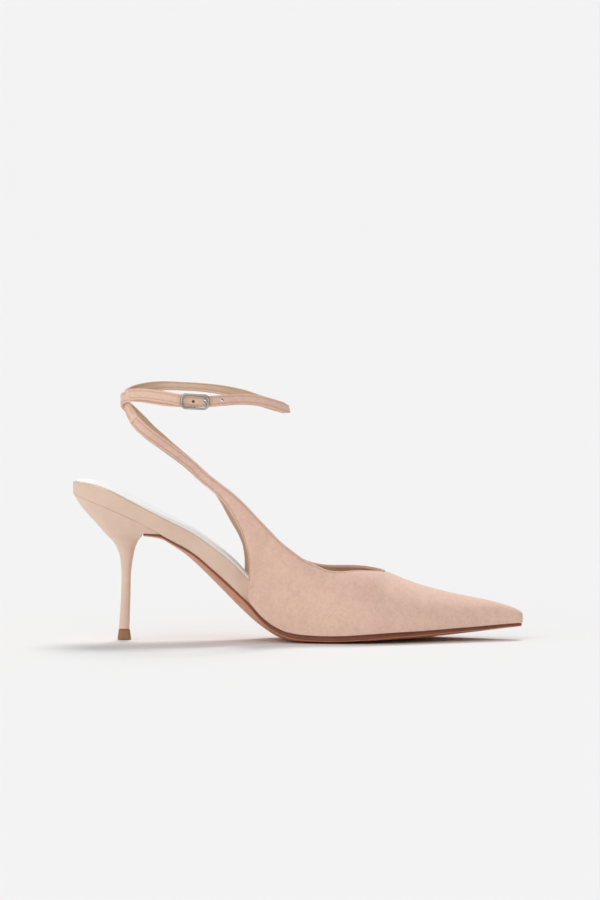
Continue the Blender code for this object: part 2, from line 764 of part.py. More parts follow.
def vamp_section(x, side):
    """Points across one side of the vamp, from the feather edge up to the ridge."""
    low = feather_point(x, side)
    height = ridge_z(x)
    centre = THROAT_Y + (last_centre(TOE_X) - THROAT_Y) * smooth_step(THROAT_X, TOE_X, x)
    top = Vector((x, centre, height))
    flare = UPPER_FLARE * round_end(TOE_X - x, FLARE_FADE)
    full = Vector((x, low.y + side * flare, height))
    weight = TOE_WEIGHT + (VAMP_WEIGHT[side] - TOE_WEIGHT) * smooth_step(0.0, TOE_BLEND, TOE_X - x)
    return [conic(low, full, top, weight, step / ACROSS) for step in range(ACROSS + 1)]


def strap_frame(path, share):
    """Middle point, along, up and outward directions of a strap."""
    x, y, z, lean = path.at(share)[:4]
    before, after = path.at(max(share - 0.002, 0.0)), path.at(min(share + 0.002, 1.0))
    along = Vector([b - a for a, b in zip(before[:3], after[:3])]).normalized()
    up = (Vector((0, 0, 1)) - along * along.z).normalized()
    outward = along.cross(up)
    point = Vector((x, y, z))
    away = point - LOOP_CENTRE
    away.z = 0.0
    if outward.dot(away) < 0:
        outward = -outward
    turn = math.radians(lean)
    cosine, sine = math.cos(turn), math.sin(turn)
    return point, along, up * cosine + outward * sine, outward * cosine - up * sine


def wing_rows(table, rise, side):
    """Rows of a wing and its rising strap: lower, fullness and top point, and arc weight."""
    rows = []
    for row in table:
        if math.isnan(row.low_y):
            low = feather_point(row.low_x, side)
        else:
            low = Vector((row.low_x, row.low_y, row.low_z))
        full = Vector(((row.low_x + row.top_x) / 2, row.full_y, row.full_z))
        top = Vector((row.top_x, row.top_y, row.top_z))
        rows.append((*low, *full, *top))
    path = Path(rise, (0, 1, 2))
    for index in range(len(rise)):
        point, _, up, outward = strap_frame(path, path.knots[index] / path.knots[-1])
        half = up * STRAP_WIDTH / 2
        skin = point + outward * STRAP_THICKNESS / 2
        rows.append((*(skin - half), *(skin + outward * 0.1), *(skin + half)))
    return rows


def wing_sections(table, rise, side):
    """Sections across a wing and its rising strap, from the throat to the strap's end."""
    rows = wing_rows(table, rise, side)
    path = Path(rows, (0, 1, 2, 6, 7, 8))
    sections = []
    for index in range(1, WING_STATIONS + 1):
        share = index / WING_STATIONS
        values = path.at(share)
        low, full, top = Vector(values[0:3]), Vector(values[3:6]), Vector(values[6:9])
        if low.x > WING_CORNER_X and low.z < edge_z(low.x) + FEATHER_REACH:
            low = feather_point(low.x, side)
        weight = VAMP_WEIGHT[side] + (1.0 - VAMP_WEIGHT[side]) * smooth_step(0.0, WING_BLEND, share)
        sections.append([conic(low, full, top, weight, step / ACROSS) for step in range(ACROSS + 1)])
    return sections


def build_upper(workshop):
    """Hollow upper: vamp, two wings and two rising straps as one wall, open below."""
    mesh = bpy.data.meshes.new("upper")
    shape = bmesh.new()
    for side, table, rise in ((OUTER, OUTER_WING, OUTER_RISE), (INNER, INNER_WING, INNER_RISE)):
        stations = [TOE_X - depth for depth in VAMP_DEPTHS]
        stations.append(THROAT_X)
        sections = [vamp_section(x, side) for x in stations] + wing_sections(table, rise, side)
        grid = [[shape.verts.new(point * MM) for point in section] for section in sections]
        for near, far in zip(grid, grid[1:]):
            for step in range(ACROSS):
                corners = (near[step], near[step + 1], far[step + 1], far[step])
                shape.faces.new(corners if side == OUTER else reversed(corners))
    bmesh.ops.remove_doubles(shape, verts=shape.verts, dist=0.00002)
    shape.to_mesh(mesh)
    shape.free()
    upper = workshop.add_mesh("upper", mesh, "suede")
    wall = upper.modifiers.new("wall", "SOLIDIFY")
    wall.thickness = WALL * MM
    wall.offset = -1.0
    wall.use_even_offset = True
    return upper


def strap_rings(path, count, round_tip):
    """Rings around a flat strap along its path, with a round tip at the far end if asked."""
    rings = []
    length = path.knots[-1]
    for index in range(count + 1):
        share = index / count
        if round_tip and index == count:
            share = 1.0 - 0.1 / length
        point, _, up, outward = strap_frame(path, share)
        tip = round_end((1.0 - share) * length, TIP_ROUND) if round_tip else 1.0
        half = up * STRAP_WIDTH / 2 * tip
        skin = outward * STRAP_THICKNESS / 2
        ring = [point - half - skin, point - skin, point + half - skin]
        ring += [point + half + skin, point + skin, point - half + skin]
        rings.append(ring)
    return rings


def share_at(path, x, low_share):
    """Share of a path where it passes a given x, past a first share."""
    best, best_distance = low_share, math.inf
    for index in range(SEARCH_STEPS):
        share = low_share + (1.0 - low_share) * index / SEARCH_STEPS
        distance = abs(path.at(share)[0] - x)
        if distance < best_distance:
            best, best_distance = share, distance
    return best


def build_straps(workshop):
    """Ankle strap with its holes and the short strap that carries the buckle."""
    long_path = Path(ANKLE_STRAP, (0, 1, 2))
    mesh = mesh_from_rings("ankle_strap", strap_rings(long_path, 80, True))
    strap = workshop.add_mesh("ankle_strap", mesh, "suede")
    for number, hole_x in enumerate((HOLE_USED_X, *HOLE_FREE_XS)):
        share = share_at(long_path, hole_x, 0.5)
        point, _, _, outward = strap_frame(long_path, share)
        cutter = add_cutter(workshop, f"hole_cutter_{number}", point, outward)
        workshop.cut(strap, cutter, "DIFFERENCE")
    short_path = Path(BUCKLE_STRAP, (0, 1, 2))
    mesh = mesh_from_rings("buckle_strap", strap_rings(short_path, 30, False))
    workshop.add_mesh("buckle_strap", mesh, "suede")
    return long_path


def add_cutter(workshop, name, point, direction):
    """Round hole cutter centred on a point along a direction."""
    mesh = bpy.data.meshes.new(name)
    shape = bmesh.new()
    bmesh.ops.create_cone(
        shape, cap_ends=True, segments=16, radius1=HOLE_RADIUS * MM, radius2=HOLE_RADIUS * MM,
        depth=CUTTER_DEPTH * MM,
    )
    shape.to_mesh(mesh)
    shape.free()
    cutter = bpy.data.objects.new(name, mesh)
    turn = direction.to_track_quat("Z", "Y").to_matrix().to_4x4()
    cutter.matrix_world = Matrix.Translation(point * MM) @ turn
    workshop.cutters.objects.link(cutter)
    return cutter


def buckle_matrix(path):
    """Places the buckle's own axes (along, up, outward) on the ankle strap."""
    point, along, up, outward = strap_frame(path, share_at(path, BUCKLE_X, 0.5))
    ahead = -along
    return Matrix.Translation(point) @ Matrix((ahead, up, outward)).transposed().to_4x4()


def frame_outline():
    """Round-cornered outline of the buckle's wire."""
    points = []
    reach = BUCKLE_LENGTH / 2 - BUCKLE_WIRE - BUCKLE_CORNER
    rise = BUCKLE_HEIGHT / 2 - BUCKLE_WIRE - BUCKLE_CORNER
    for quarter, (sx, sy) in enumerate(((1, 1), (-1, 1), (-1, -1), (1, -1))):
        for step in range(5):
            angle = math.pi / 2 * (quarter + step / 4)
            x = sx * reach + BUCKLE_CORNER * math.cos(angle)
            y = sy * rise + BUCKLE_CORNER * math.sin(angle)
            points.append((x, y))
    return points


def build_buckle(workshop, path):
    """Buckle frame with its sunk middle bar, and the prong through the strap's hole."""
    place = buckle_matrix(path)
    wire_out = STRAP_THICKNESS / 2 + GAP + BUCKLE_WIRE
    bar_in = -(STRAP_THICKNESS / 2 + GAP + BUCKLE_WIRE)

    def world(x, y, z):
        return (place @ Vector((x, y, z))) * MM

    outline = [world(x, y, wire_out) for x, y in frame_outline()]
    ring = workshop.add_wire("frame_wire", outline, BUCKLE_WIRE, closed=True)
    ring_mesh = workshop.curve_to_mesh(ring, "buckle_frame")
    frame = workshop.add_mesh("buckle_frame", ring_mesh, "nickel")
    rail = BUCKLE_HEIGHT / 2 - BUCKLE_WIRE
    bar_points = [
        world(0, rail, wire_out),
        world(0, rail, bar_in),
        world(0, -rail, bar_in),
        world(0, -rail, wire_out),
    ]
    bar = workshop.add_wire("bar_wire", bar_points, BUCKLE_WIRE * BAR_SHARE)
    bar_mesh = workshop.curve_to_mesh(bar, "bar_cutter")
    cutter = bpy.data.objects.new("bar_cutter", bar_mesh)
    workshop.cutters.objects.link(cutter)
    workshop.cut(frame, cutter, "UNION")

    hole = HOLE_USED_X - BUCKLE_X
    rest = BUCKLE_LENGTH / 2 - BUCKLE_WIRE
    prong_out = wire_out + BUCKLE_WIRE + GAP + PRONG_RADIUS
    prong_points = [
        world(BUCKLE_WIRE + GAP + PRONG_RADIUS, 0, bar_in - 0.1),
        world(hole - 1.1, 0, bar_in - 0.1),
        world(hole - 0.3, 0, bar_in + 0.2),
        world(hole, 0, bar_in + 0.9),
        world(hole, 0, prong_out - 0.9),
        world(hole + 0.3, 0, prong_out - 0.2),
        world(hole + 1.0, 0, prong_out),
        world(rest + 1.0, 0, prong_out),
    ]
    prong = workshop.add_wire("prong_wire", prong_points, PRONG_RADIUS)
    prong_mesh = workshop.curve_to_mesh(prong, "buckle_prong")
    workshop.add_mesh("buckle_prong", prong_mesh, "nickel")


def main():
    """Builds every piece of the pump."""
    workshop = Workshop()
    build_outsole(workshop)
    build_board(workshop)
    build_sock(workshop)
    build_heel(workshop)
    build_heel_tip(workshop)
    build_upper(workshop)
    path = build_straps(workshop)
    build_buckle(workshop, path)


main()
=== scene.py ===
"""Looks of the ankle strap pump: suede, leather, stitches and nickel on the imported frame.

Axes: +X to the toe, +Z up, -Y to the outer side with the buckle. Tables are in millimetres.
"""

from __future__ import annotations

import logging
import math
from collections.abc import Callable, Sequence
from dataclasses import dataclass, field
from enum import Enum
from typing import NamedTuple, TypeAlias, TypeVar

import bmesh
import bpy
from mathutils import Matrix, Vector
from mathutils.kdtree import KDTree

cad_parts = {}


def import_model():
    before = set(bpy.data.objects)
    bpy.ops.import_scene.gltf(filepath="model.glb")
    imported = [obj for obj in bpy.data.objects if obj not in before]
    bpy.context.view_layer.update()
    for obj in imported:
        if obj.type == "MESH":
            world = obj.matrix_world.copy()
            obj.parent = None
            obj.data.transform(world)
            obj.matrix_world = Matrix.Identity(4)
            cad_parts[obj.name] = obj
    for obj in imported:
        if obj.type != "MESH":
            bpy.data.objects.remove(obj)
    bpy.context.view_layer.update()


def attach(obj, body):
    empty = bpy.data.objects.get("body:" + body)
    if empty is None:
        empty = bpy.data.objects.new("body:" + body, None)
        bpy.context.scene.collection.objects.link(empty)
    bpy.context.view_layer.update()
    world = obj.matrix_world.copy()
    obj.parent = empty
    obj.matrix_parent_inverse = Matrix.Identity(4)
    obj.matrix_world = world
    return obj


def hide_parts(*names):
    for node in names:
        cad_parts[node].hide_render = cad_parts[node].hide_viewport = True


LOG = logging.getLogger("ankle_strap_pump")
MM = 0.001
ROOT = "root"
TINY = 1e-6
# Points nearer than this, in metres, become one.
WELD = 0.000015
# A vertex this near to a seam, in groove widths plus millimetres, is measured to its spans.
SEAM_WIDTHS = 4.0
SEAM_MARGIN = 2.0
# Share of a fold at each end where it no longer fades.
FOLD_END = 0.05


Row = TypeVar("Row")


def filled(kind: Callable[..., Row], *rows: Sequence[object]) -> tuple[Row, ...]:
    """Return a table whose rows are read as one kind of row."""
    return tuple(kind(*row) for row in rows)


class Side(Enum):
    """Side of the shoe, with the sign of its Y."""

    OUTER = -1
    INNER = 1


class Edge(Enum):
    """Edge of the upper's sections, with the order that reads a section from it."""

    LOW = 1
    TOP = -1


class Slot(Enum):
    """Material slots."""

    SUEDE = "suede"
    COVER = "covered_leather"
    SOCK = "sock_leather"
    SOLE = "sole_leather"
    LIFT = "top_piece"
    NICKEL = "nickel"


def hermite(start: float, end: float, start_slope: float, end_slope: float, share: float) -> float:
    """Return the cubic value between two ends.

    Args:
        start: Value at share 0.
        end: Value at share 1.
        start_slope: Slope at share 0.
        end_slope: Slope at share 1.
        share: Place between the ends.

    Returns:
        The value at the share.
    """
    square, cube = share * share, share**3
    return (
        start * (2 * cube - 3 * square + 1)
        + end * (3 * square - 2 * cube)
        + start_slope * (cube - 2 * square + share)
        + end_slope * (cube - square)
    )


class Profile:
    """Smooth curve through values at rising positions, without overshoot."""

    def __init__(self, positions: Sequence[float], values: Sequence[float]) -> None:
        """Keep the points and work out their slopes.

        Args:
            positions: Rising positions.
            values: One value for each position.
        """
        self.positions = list(positions)
        self.values = list(values)
        spans = [b - a for a, b in zip(self.positions, self.positions[1:])]
        rises = [(b - a) / s for a, b, s in zip(self.values, self.values[1:], spans)]
        self.slopes = [rises[0]]
        for before, after in zip(rises, rises[1:]):
            same_way = before * after > 0
            self.slopes.append(2 * before * after / (before + after) if same_way else 0.0)
        self.slopes.append(rises[-1])

    def __call__(self, position: float) -> float:
        """Return the value at a position, held at the ends.

        Args:
            position: Place along the curve.

        Returns:
            The curve's value there.
        """
        position = min(max(position, self.positions[0]), self.positions[-1])
        index = 0
        while index < len(self.positions) - 2 and position > self.positions[index + 1]:
            index += 1
        span = self.positions[index + 1] - self.positions[index]
        return hermite(
            self.values[index],
            self.values[index + 1],
            self.slopes[index] * span,
            self.slopes[index + 1] * span,
            (position - self.positions[index]) / span,
        )


def columns(rows: Sequence[Sequence[float]]) -> list[Profile]:
    """Return a profile for each column of a table against its first column."""
    first, *others = zip(*rows)
    return [Profile(first, column) for column in others]


class Path:
    """Smooth curve through rows of numbers, spaced by the distance between given columns."""

    def __init__(self, rows: Sequence[Sequence[float]], columns: Sequence[int]) -> None:
        """Space the rows.

        Args:
            rows: Rows of equal length.
            columns: Columns that count for the distance between rows.
        """
        self.rows = [tuple(row) for row in rows]
        self.knots = [0.0]
        for before, after in zip(self.rows, self.rows[1:]):
            step = math.sqrt(sum((after[c] - before[c]) ** 2 for c in columns))
            self.knots.append(self.knots[-1] + max(step, TINY))
        self.slopes = [[self._slope(i, c) for c in range(len(self.rows[0]))] for i in range(len(self.rows))]

    @property
    def length(self) -> float:
        """Return the whole length."""
        return self.knots[-1]

    def _slope(self, index: int, column: int) -> float:
        """Return a column's slope at a knot, from the parabola through its neighbours.

        Args:
            index: Number of the knot.
            column: Number of the column.

        Returns:
            The slope.
        """
        low, high = max(index - 1, 0), min(index + 1, len(self.knots) - 1)
        if low == index or high == index:
            rise = self.rows[high][column] - self.rows[low][column]
            return rise / (self.knots[high] - self.knots[low])
        before = self.knots[index] - self.knots[low]
        after = self.knots[high] - self.knots[index]
        rise_before = (self.rows[index][column] - self.rows[low][column]) / before
        rise_after = (self.rows[high][column] - self.rows[index][column]) / after
        return (rise_before * after + rise_after * before) / (before + after)

    def at(self, share: float) -> list[float]:
        """Return all columns at a share of the whole length.

        Args:
            share: Place from 0 to 1.

        Returns:
            One number for each column.
        """
        place = share * self.knots[-1]
        index = 0
        while index < len(self.knots) - 2 and place > self.knots[index + 1]:
            index += 1
        span = self.knots[index + 1] - self.knots[index]
        part = (place - self.knots[index]) / span
        start, end = self.rows[index], self.rows[index + 1]
        rise, fall = self.slopes[index], self.slopes[index + 1]
        return [hermite(start[c], end[c], rise[c] * span, fall[c] * span, part) for c in range(len(start))]


def smooth_step(low: float, high: float, value: float) -> float:
    """Return a soft step from 0 to 1 between two values."""
    share = min(max((value - low) / (high - low), 0.0), 1.0)
    return share * share * (3 - 2 * share)


def round_end(distance: float, radius: float) -> float:
    """Return the share of the full breadth at a distance from a round end."""
    if distance >= radius:
        return 1.0
    return math.sqrt(max(0.0, 1.0 - (1.0 - max(distance, 0.0) / radius) ** 2))


def conic(start: Vector, control: Vector, end: Vector, weight: float, share: float) -> Vector:
    """Return a point of a conic arc.

    Args:
        start: First point.
        control: Point that the arc bends towards.
        end: Last point.
        weight: Fullness, 1 for a parabola.
        share: Place between the ends.

    Returns:
        The point at the share.
    """
    first, second, third = (1 - share) ** 2, 2 * weight * share * (1 - share), share**2
    return (start * first + control * second + end * third) / (first + second + third)


def crowded(start: float, end: float, count: int, bias: float = 0.8) -> list[float]:
    """Return stations that crowd towards both ends.

    Args:
        start: First station.
        end: Last station.
        count: Number of spans between stations.
        bias: Strength of the crowding, 0 for even stations.

    Returns:
        Rising stations from start to end.
    """
    shares = [index / count for index in range(count + 1)]
    eased = [(0.5 - 0.5 * math.cos(math.pi * s)) * bias + s * (1 - bias) for s in shares]
    return [start + (end - start) * share for share in eased]


class LastRow(NamedTuple):
    """One section of the last's bottom: outline, feather edge and top of the board."""

    x: float
    half: float
    centre: float
    edge_z: float
    camber: float
    board_z: float


LAST = filled(
    LastRow,
    (-28.4, 23.2, 0.0, 81.6, 0.0, 89.6),
    (-18.0, 23.4, 0.0, 77.9, 0.0, 87.9),
    (-8.4, 23.8, 0.0, 74.2, 0.0, 84.6),
    (4.0, 25.0, 0.0, 68.7, 0.2, 78.3),
    (15.4, 25.2, 0.0, 62.9, 0.9, 72.4),
    (26.6, 24.2, -0.3, 57.1, 2.6, 66.7),
    (37.7, 22.9, -0.9, 50.7, 3.8, 60.9),
    (48.8, 21.8, -1.7, 41.5, 5.2, 53.3),
    (59.9, 20.8, -2.6, 31.6, 6.4, 44.4),
    (68.5, 21.2, -3.6, 23.4, 6.2, 35.6),
    (76.6, 22.0, -4.3, 14.2, 3.4, 26.0),
    (83.6, 23.4, -4.6, 9.0, 2.1, 18.0),
    (91.6, 25.6, -4.4, 5.8, 1.8, 11.6),
    (101.0, 29.0, -3.2, 4.5, 1.2, 8.6),
    (112.0, 32.8, -1.5, 4.1, 1.0, 7.9),
    (121.6, 35.2, -0.3, 4.3, 1.2, 8.0),
    (136.6, 36.4, 1.0, 5.2, 1.5, 8.7),
    (151.6, 33.4, 1.5, 6.0, 1.5, 9.4),
    (166.6, 27.8, 1.8, 6.5, 1.2, 9.8),
    (181.6, 20.6, 2.1, 7.2, 0.9, 10.3),
    (196.6, 13.4, 2.5, 7.8, 0.5, 10.7),
    (209.1, 7.5, 2.7, 8.5, 0.3, 11.2),
    (217.9, 4.2, 2.8, 8.9, 0.1, 11.5),
    (221.6, 3.3, 2.8, 9.0, 0.0, 11.6),
)


class SoleRow(NamedTuple):
    """One section of the outsole: how far its edge is set in, room for the heel's lip, its edge."""

    x: float
    set_in: float
    lip_room: float
    edge_thick: float
    bottom_z: float


SOLE = filled(
    SoleRow,
    (10.6, 16.5, 5.9, 1.1, 57.5),
    (15.4, 12.6, 3.4, 1.2, 57.1),
    (21.0, 8.6, 0.9, 1.3, 55.9),
    (26.6, 5.2, 0.0, 1.4, 52.8),
    (34.0, 2.6, 0.0, 1.5, 47.8),
    (43.2, 1.6, 0.0, 1.6, 39.5),
    (54.3, 1.4, 0.0, 1.8, 28.4),
    (65.4, 1.2, 0.0, 2.0, 17.2),
    (76.6, 1.0, 0.0, 2.3, 7.7),
    (87.7, 0.9, 0.0, 2.5, 1.7),
    (98.0, 0.9, 0.0, 2.8, 0.0),
    (116.0, 0.9, 0.0, 2.8, 0.0),
    (132.1, 0.9, 0.0, 2.8, 0.35),
    (154.3, 0.9, 0.0, 2.5, 1.3),
    (182.1, 0.8, 0.0, 2.1, 3.5),
    (209.9, 0.7, 0.0, 1.7, 6.2),
    (221.6, 0.6, 0.0, 1.4, 7.3),
)


class RidgeRow(NamedTuple):
    """Height of the top of the vamp along its centre line."""

    x: float
    z: float


RIDGE = filled(
    RidgeRow,
    (145.0, 37.9),
    (148.8, 36.6),
    (154.3, 34.2),
    (159.9, 32.0),
    (165.4, 30.2),
    (171.0, 28.6),
    (182.1, 25.8),
    (193.2, 23.6),
    (204.3, 21.3),
    (209.9, 19.8),
    (215.5, 18.0),
    (219.3, 16.3),
    (221.0, 14.9),
    (221.6, 14.0),
)


class WingRow(NamedTuple):
    """One section of a wing from its lower edge, by a fullness point, to its top edge."""

    low_x: float
    low_y: float
    low_z: float
    full_y: float
    full_z: float
    top_x: float
    top_y: float
    top_z: float


# Sections whose lower edge is lasted take low_y and low_z from the feather edge.
LASTED = math.nan

OUTER_WING = filled(
    WingRow,
    (145.0, LASTED, LASTED, -36.3, 37.9, 145.0, 2.0, 37.9),
    (143.0, LASTED, LASTED, -36.6, 38.0, 144.0, -3.0, 38.3),
    (140.0, LASTED, LASTED, -36.9, 37.6, 141.0, -8.6, 38.9),
    (135.0, LASTED, LASTED, -37.0, 36.2, 134.8, -15.2, 39.6),
    (129.0, LASTED, LASTED, -37.0, 34.0, 127.5, -20.2, 39.9),
    (122.0, LASTED, LASTED, -36.4, 31.0, 120.5, -22.4, 39.5),
    (114.0, LASTED, LASTED, -35.2, 28.5, 113.5, -23.2, 40.2),
    (105.0, LASTED, LASTED, -33.6, 28.5, 106.5, -23.6, 43.1),
    (96.0, LASTED, LASTED, -32.0, 30.0, 100.0, -24.0, 46.3),
    (87.5, LASTED, LASTED, -30.6, 32.0, 94.0, -24.4, 50.6),
    (78.5, LASTED, LASTED, -29.2, 35.0, 88.5, -24.8, 55.0),
    (69.5, LASTED, LASTED, -28.6, 41.0, 83.5, -25.2, 59.6),
    (69.3, -26.8, 34.1, -29.2, 49.5, 79.5, -25.6, 64.0),
    (69.3, -27.8, 44.7, -29.4, 56.5, 76.0, -26.0, 67.8),
    (68.2, -28.2, 51.7, -29.4, 62.0, 72.3, -26.4, 71.7),
    (66.0, -28.5, 59.2, -29.3, 68.0, 69.2, -26.8, 75.1),
    (62.0, -28.8, 67.8, -29.3, 75.0, 65.6, -27.2, 78.8),
    (56.2, -28.8, 76.9, -28.9, 81.3, 59.8, -27.6, 84.0),
    (49.8, -28.5, 83.6, -28.4, 87.0, 53.2, -27.6, 89.1),
)

INNER_WING = filled(
    WingRow,
    (145.0, LASTED, LASTED, 38.7, 37.9, 145.0, 2.0, 37.9),
    (143.0, LASTED, LASTED, 39.0, 38.0, 144.0, 7.0, 38.3),
    (140.0, LASTED, LASTED, 39.2, 37.8, 141.0, 12.0, 38.8),
    (135.0, LASTED, LASTED, 39.2, 36.8, 134.8, 18.0, 39.6),
    (129.0, LASTED, LASTED, 38.8, 35.5, 127.5, 22.4, 39.9),
    (122.0, LASTED, LASTED, 37.6, 33.0, 120.5, 24.0, 39.8),
    (114.0, LASTED, LASTED, 35.0, 31.5, 113.5, 24.6, 39.9),
    (105.0, LASTED, LASTED, 31.4, 31.5, 106.0, 25.0, 41.0),
    (96.0, LASTED, LASTED, 27.6, 32.5, 99.0, 25.2, 43.4),
    (87.0, LASTED, LASTED, 24.8, 34.0, 92.5, 25.4, 48.0),
    (77.5, LASTED, LASTED, 23.2, 36.5, 86.5, 25.6, 53.0),
    (67.6, LASTED, LASTED, 22.6, 40.5, 81.0, 25.8, 58.6),
    (66.9, 20.4, 34.5, 24.6, 49.0, 77.0, 26.0, 62.9),
    (66.9, 22.6, 43.6, 26.0, 55.5, 73.2, 26.2, 66.6),
    (65.9, 24.2, 50.1, 26.8, 60.5, 69.6, 26.4, 70.2),
    (63.2, 25.4, 56.8, 27.3, 66.0, 66.2, 26.8, 73.7),
    (58.2, 26.6, 65.4, 27.7, 72.5, 62.6, 27.2, 77.1),
    (53.6, 27.2, 74.0, 27.9, 78.5, 57.8, 27.4, 81.2),
    (49.6, 27.4, 80.0, 27.8, 82.8, 53.4, 27.5, 84.9),
)


class StrapRow(NamedTuple):
    """One point of a strap's middle line, with the lean of its top edge outwards in degrees."""

    x: float
    y: float
    z: float
    lean: float


OUTER_RISE = filled(
    StrapRow,
    (43.2, -27.6, 93.0, -14.0),
    (37.9, -26.8, 98.1, -35.0),
    (32.3, -25.6, 102.3, -42.0),
    (26.8, -23.9, 106.3, -42.0),
    (21.2, -21.6, 110.3, -40.0),
    (15.6, -18.6, 114.1, -35.0),
    (10.0, -14.8, 118.5, -24.0),
    (6.2, -11.4, 122.4, -12.0),
)

INNER_RISE = filled(
    StrapRow,
    (45.4, 27.4, 87.4, -4.0),
    (38.6, 26.8, 93.6, -10.0),
    (31.4, 25.5, 100.0, -16.0),
    (25.0, 23.8, 105.6, -18.0),
    (19.2, 21.0, 111.1, -16.0),
    (14.0, 17.8, 115.9, -12.0),
    (9.6, 14.4, 120.8, -6.0),
)

# Goes on from the outer rising strap, inside the crossing, round the far side and back.
ANKLE_STRAP = filled(
    StrapRow,
    (5.9, -11.1, 122.8, -12.0),
    (3.0, -7.2, 127.6, -6.0),
    (1.2, -2.6, 131.9, 0.0),
    (1.2, 2.2, 135.2, 6.0),
    (4.4, 8.6, 137.4, 16.0),
    (11.0, 14.8, 139.0, 28.0),
    (21.0, 20.0, 140.1, 46.0),
    (32.0, 22.8, 139.7, 52.0),
    (43.0, 23.4, 139.0, 52.0),
    (54.0, 21.8, 137.7, 47.0),
    (65.5, 17.6, 135.3, 33.0),
    (75.0, 12.4, 132.4, 10.0),
    (84.0, 6.8, 129.9, -4.0),
    (90.0, 2.8, 128.5, -10.0),
    (91.2, -0.6, 128.2, -13.0),
    (89.4, -4.2, 128.9, -18.0),
    (82.6, -9.4, 131.6, -26.0),
    (74.0, -14.8, 133.8, -28.0),
    (64.7, -19.4, 134.7, -30.0),
    (55.0, -23.2, 134.4, -24.0),
    (47.0, -25.5, 134.0, -10.0),
    (39.4, -26.3, 134.0, 0.0),
    (31.5, -26.3, 134.9, 0.0),
    (24.0, -24.9, 136.2, 0.0),
    (15.0, -21.5, 137.4, 0.0),
    (7.4, -17.0, 137.6, 0.0),
    (1.3, -11.6, 136.6, 0.0),
)

# Goes on from the inner rising strap, outside the crossing, to the bar of the buckle.
BUCKLE_STRAP = filled(
    StrapRow,
    (9.3, 14.2, 121.2, -6.0),
    (4.9, 10.2, 125.9, -2.0),
    (1.2, 6.3, 129.6, 0.0),
    (-1.0, 1.4, 132.3, 0.0),
    (-0.6, -4.2, 134.5, 0.0),
    (3.2, -10.0, 135.9, 0.0),
    (9.0, -15.2, 136.1, 0.0),
    (16.0, -19.4, 135.3, 0.0),
    (24.0, -22.6, 134.3, 0.0),
    (31.5, -24.1, 133.9, 0.0),
    (38.2, -24.35, 133.9, 0.0),
)


class HeelRow(NamedTuple):
    """One section of the heel: its back and front points, half width and share of seat outline."""

    back_x: float
    back_z: float
    front_x: float
    front_z: float
    half: float
    seat: float


HEEL = filled(
    HeelRow,
    (-3.0, 6.1, 2.9, 6.1, 4.0, 0.0),
    (-2.6, 12.0, 3.1, 12.0, 3.9, 0.0),
    (-1.8, 26.0, 3.5, 26.0, 3.9, 0.0),
    (-1.7, 40.0, 4.0, 39.2, 4.4, 0.0),
    (-2.8, 47.5, 5.1, 46.4, 5.8, 0.0),
    (-5.5, 53.7, 6.7, 52.6, 8.6, 0.0),
    (-9.6, 59.0, 9.3, 57.4, 12.6, 0.05),
    (-13.2, 65.2, 12.8, 58.8, 17.0, 0.22),
    (-18.8, 71.8, 16.8, 58.9, 21.3, 0.6),
    (-24.9, 78.6, 19.6, 58.9, 23.6, 0.95),
)

TOP_PIECE = filled(
    HeelRow,
    (-3.4, 0.0, 3.4, 0.0, 3.8, 0.0),
    (-3.7, 0.12, 3.7, 0.12, 4.1, 0.0),
    (-3.8, 0.5, 3.8, 0.5, 4.25, 0.0),
    (-3.55, 2.4, 3.55, 2.4, 4.18, 0.0),
    (-3.25, 4.4, 3.25, 4.4, 4.1, 0.0),
    (-3.06, 5.6, 3.06, 5.6, 4.06, 0.0),
    (-2.85, 5.8, 2.85, 5.8, 3.85, 0.0),
)


Tint: TypeAlias = "tuple[float, float, float] | bpy.types.NodeSocket"
Line: TypeAlias = "Sequence[tuple[Vector, Vector]]"


class Signal:
    """A number socket of a shader that Python's operators combine through Math nodes."""

    def __init__(self, graph: Graph, socket: bpy.types.NodeSocket) -> None:
        """Wrap a socket of a graph."""
        self.graph = graph
        self.socket = socket

    def _maths(self, operation: str, first: object, second: object) -> Signal:
        """Return the result of one Math node."""
        node = self.graph.add("ShaderNodeMath", {"operation": operation}, {0: first, 1: second})
        return Signal(self.graph, node.outputs[0])

    def __add__(self, other: object) -> Signal:
        """Return self + other."""
        return self._maths("ADD", self, other)

    def __radd__(self, other: object) -> Signal:
        """Return other + self."""
        return self._maths("ADD", other, self)

    def __sub__(self, other: object) -> Signal:
        """Return self - other."""
        return self._maths("SUBTRACT", self, other)

    def __rsub__(self, other: object) -> Signal:
        """Return other - self."""
        return self._maths("SUBTRACT", other, self)

    def __mul__(self, other: object) -> Signal:
        """Return self * other."""
        return self._maths("MULTIPLY", self, other)

    def __rmul__(self, other: object) -> Signal:
        """Return other * self."""
        return self._maths("MULTIPLY", other, self)

    def step(self, low: float, high: float) -> Signal:
        """Return a soft step from 0 at low to 1 at high.

        Args:
            low: Value that gives 0.
            high: Value that gives 1.

        Returns:
            The stepped signal.
        """
        node = self.graph.add(
            "ShaderNodeMapRange",
            {"interpolation_type": "SMOOTHSTEP", "clamp": True},
            {"Value": self, "From Min": low, "From Max": high},
        )
        return Signal(self.graph, node.outputs["Result"])

    def colour(self, low: Tint, high: Tint) -> bpy.types.NodeSocket:
        """Return a colour socket that goes from low to high with this number."""
        ends = {"Factor_Float": self, "A_Color": low, "B_Color": high}
        return self.graph.add("ShaderNodeMix", {"data_type": "RGBA"}, ends).outputs[2]


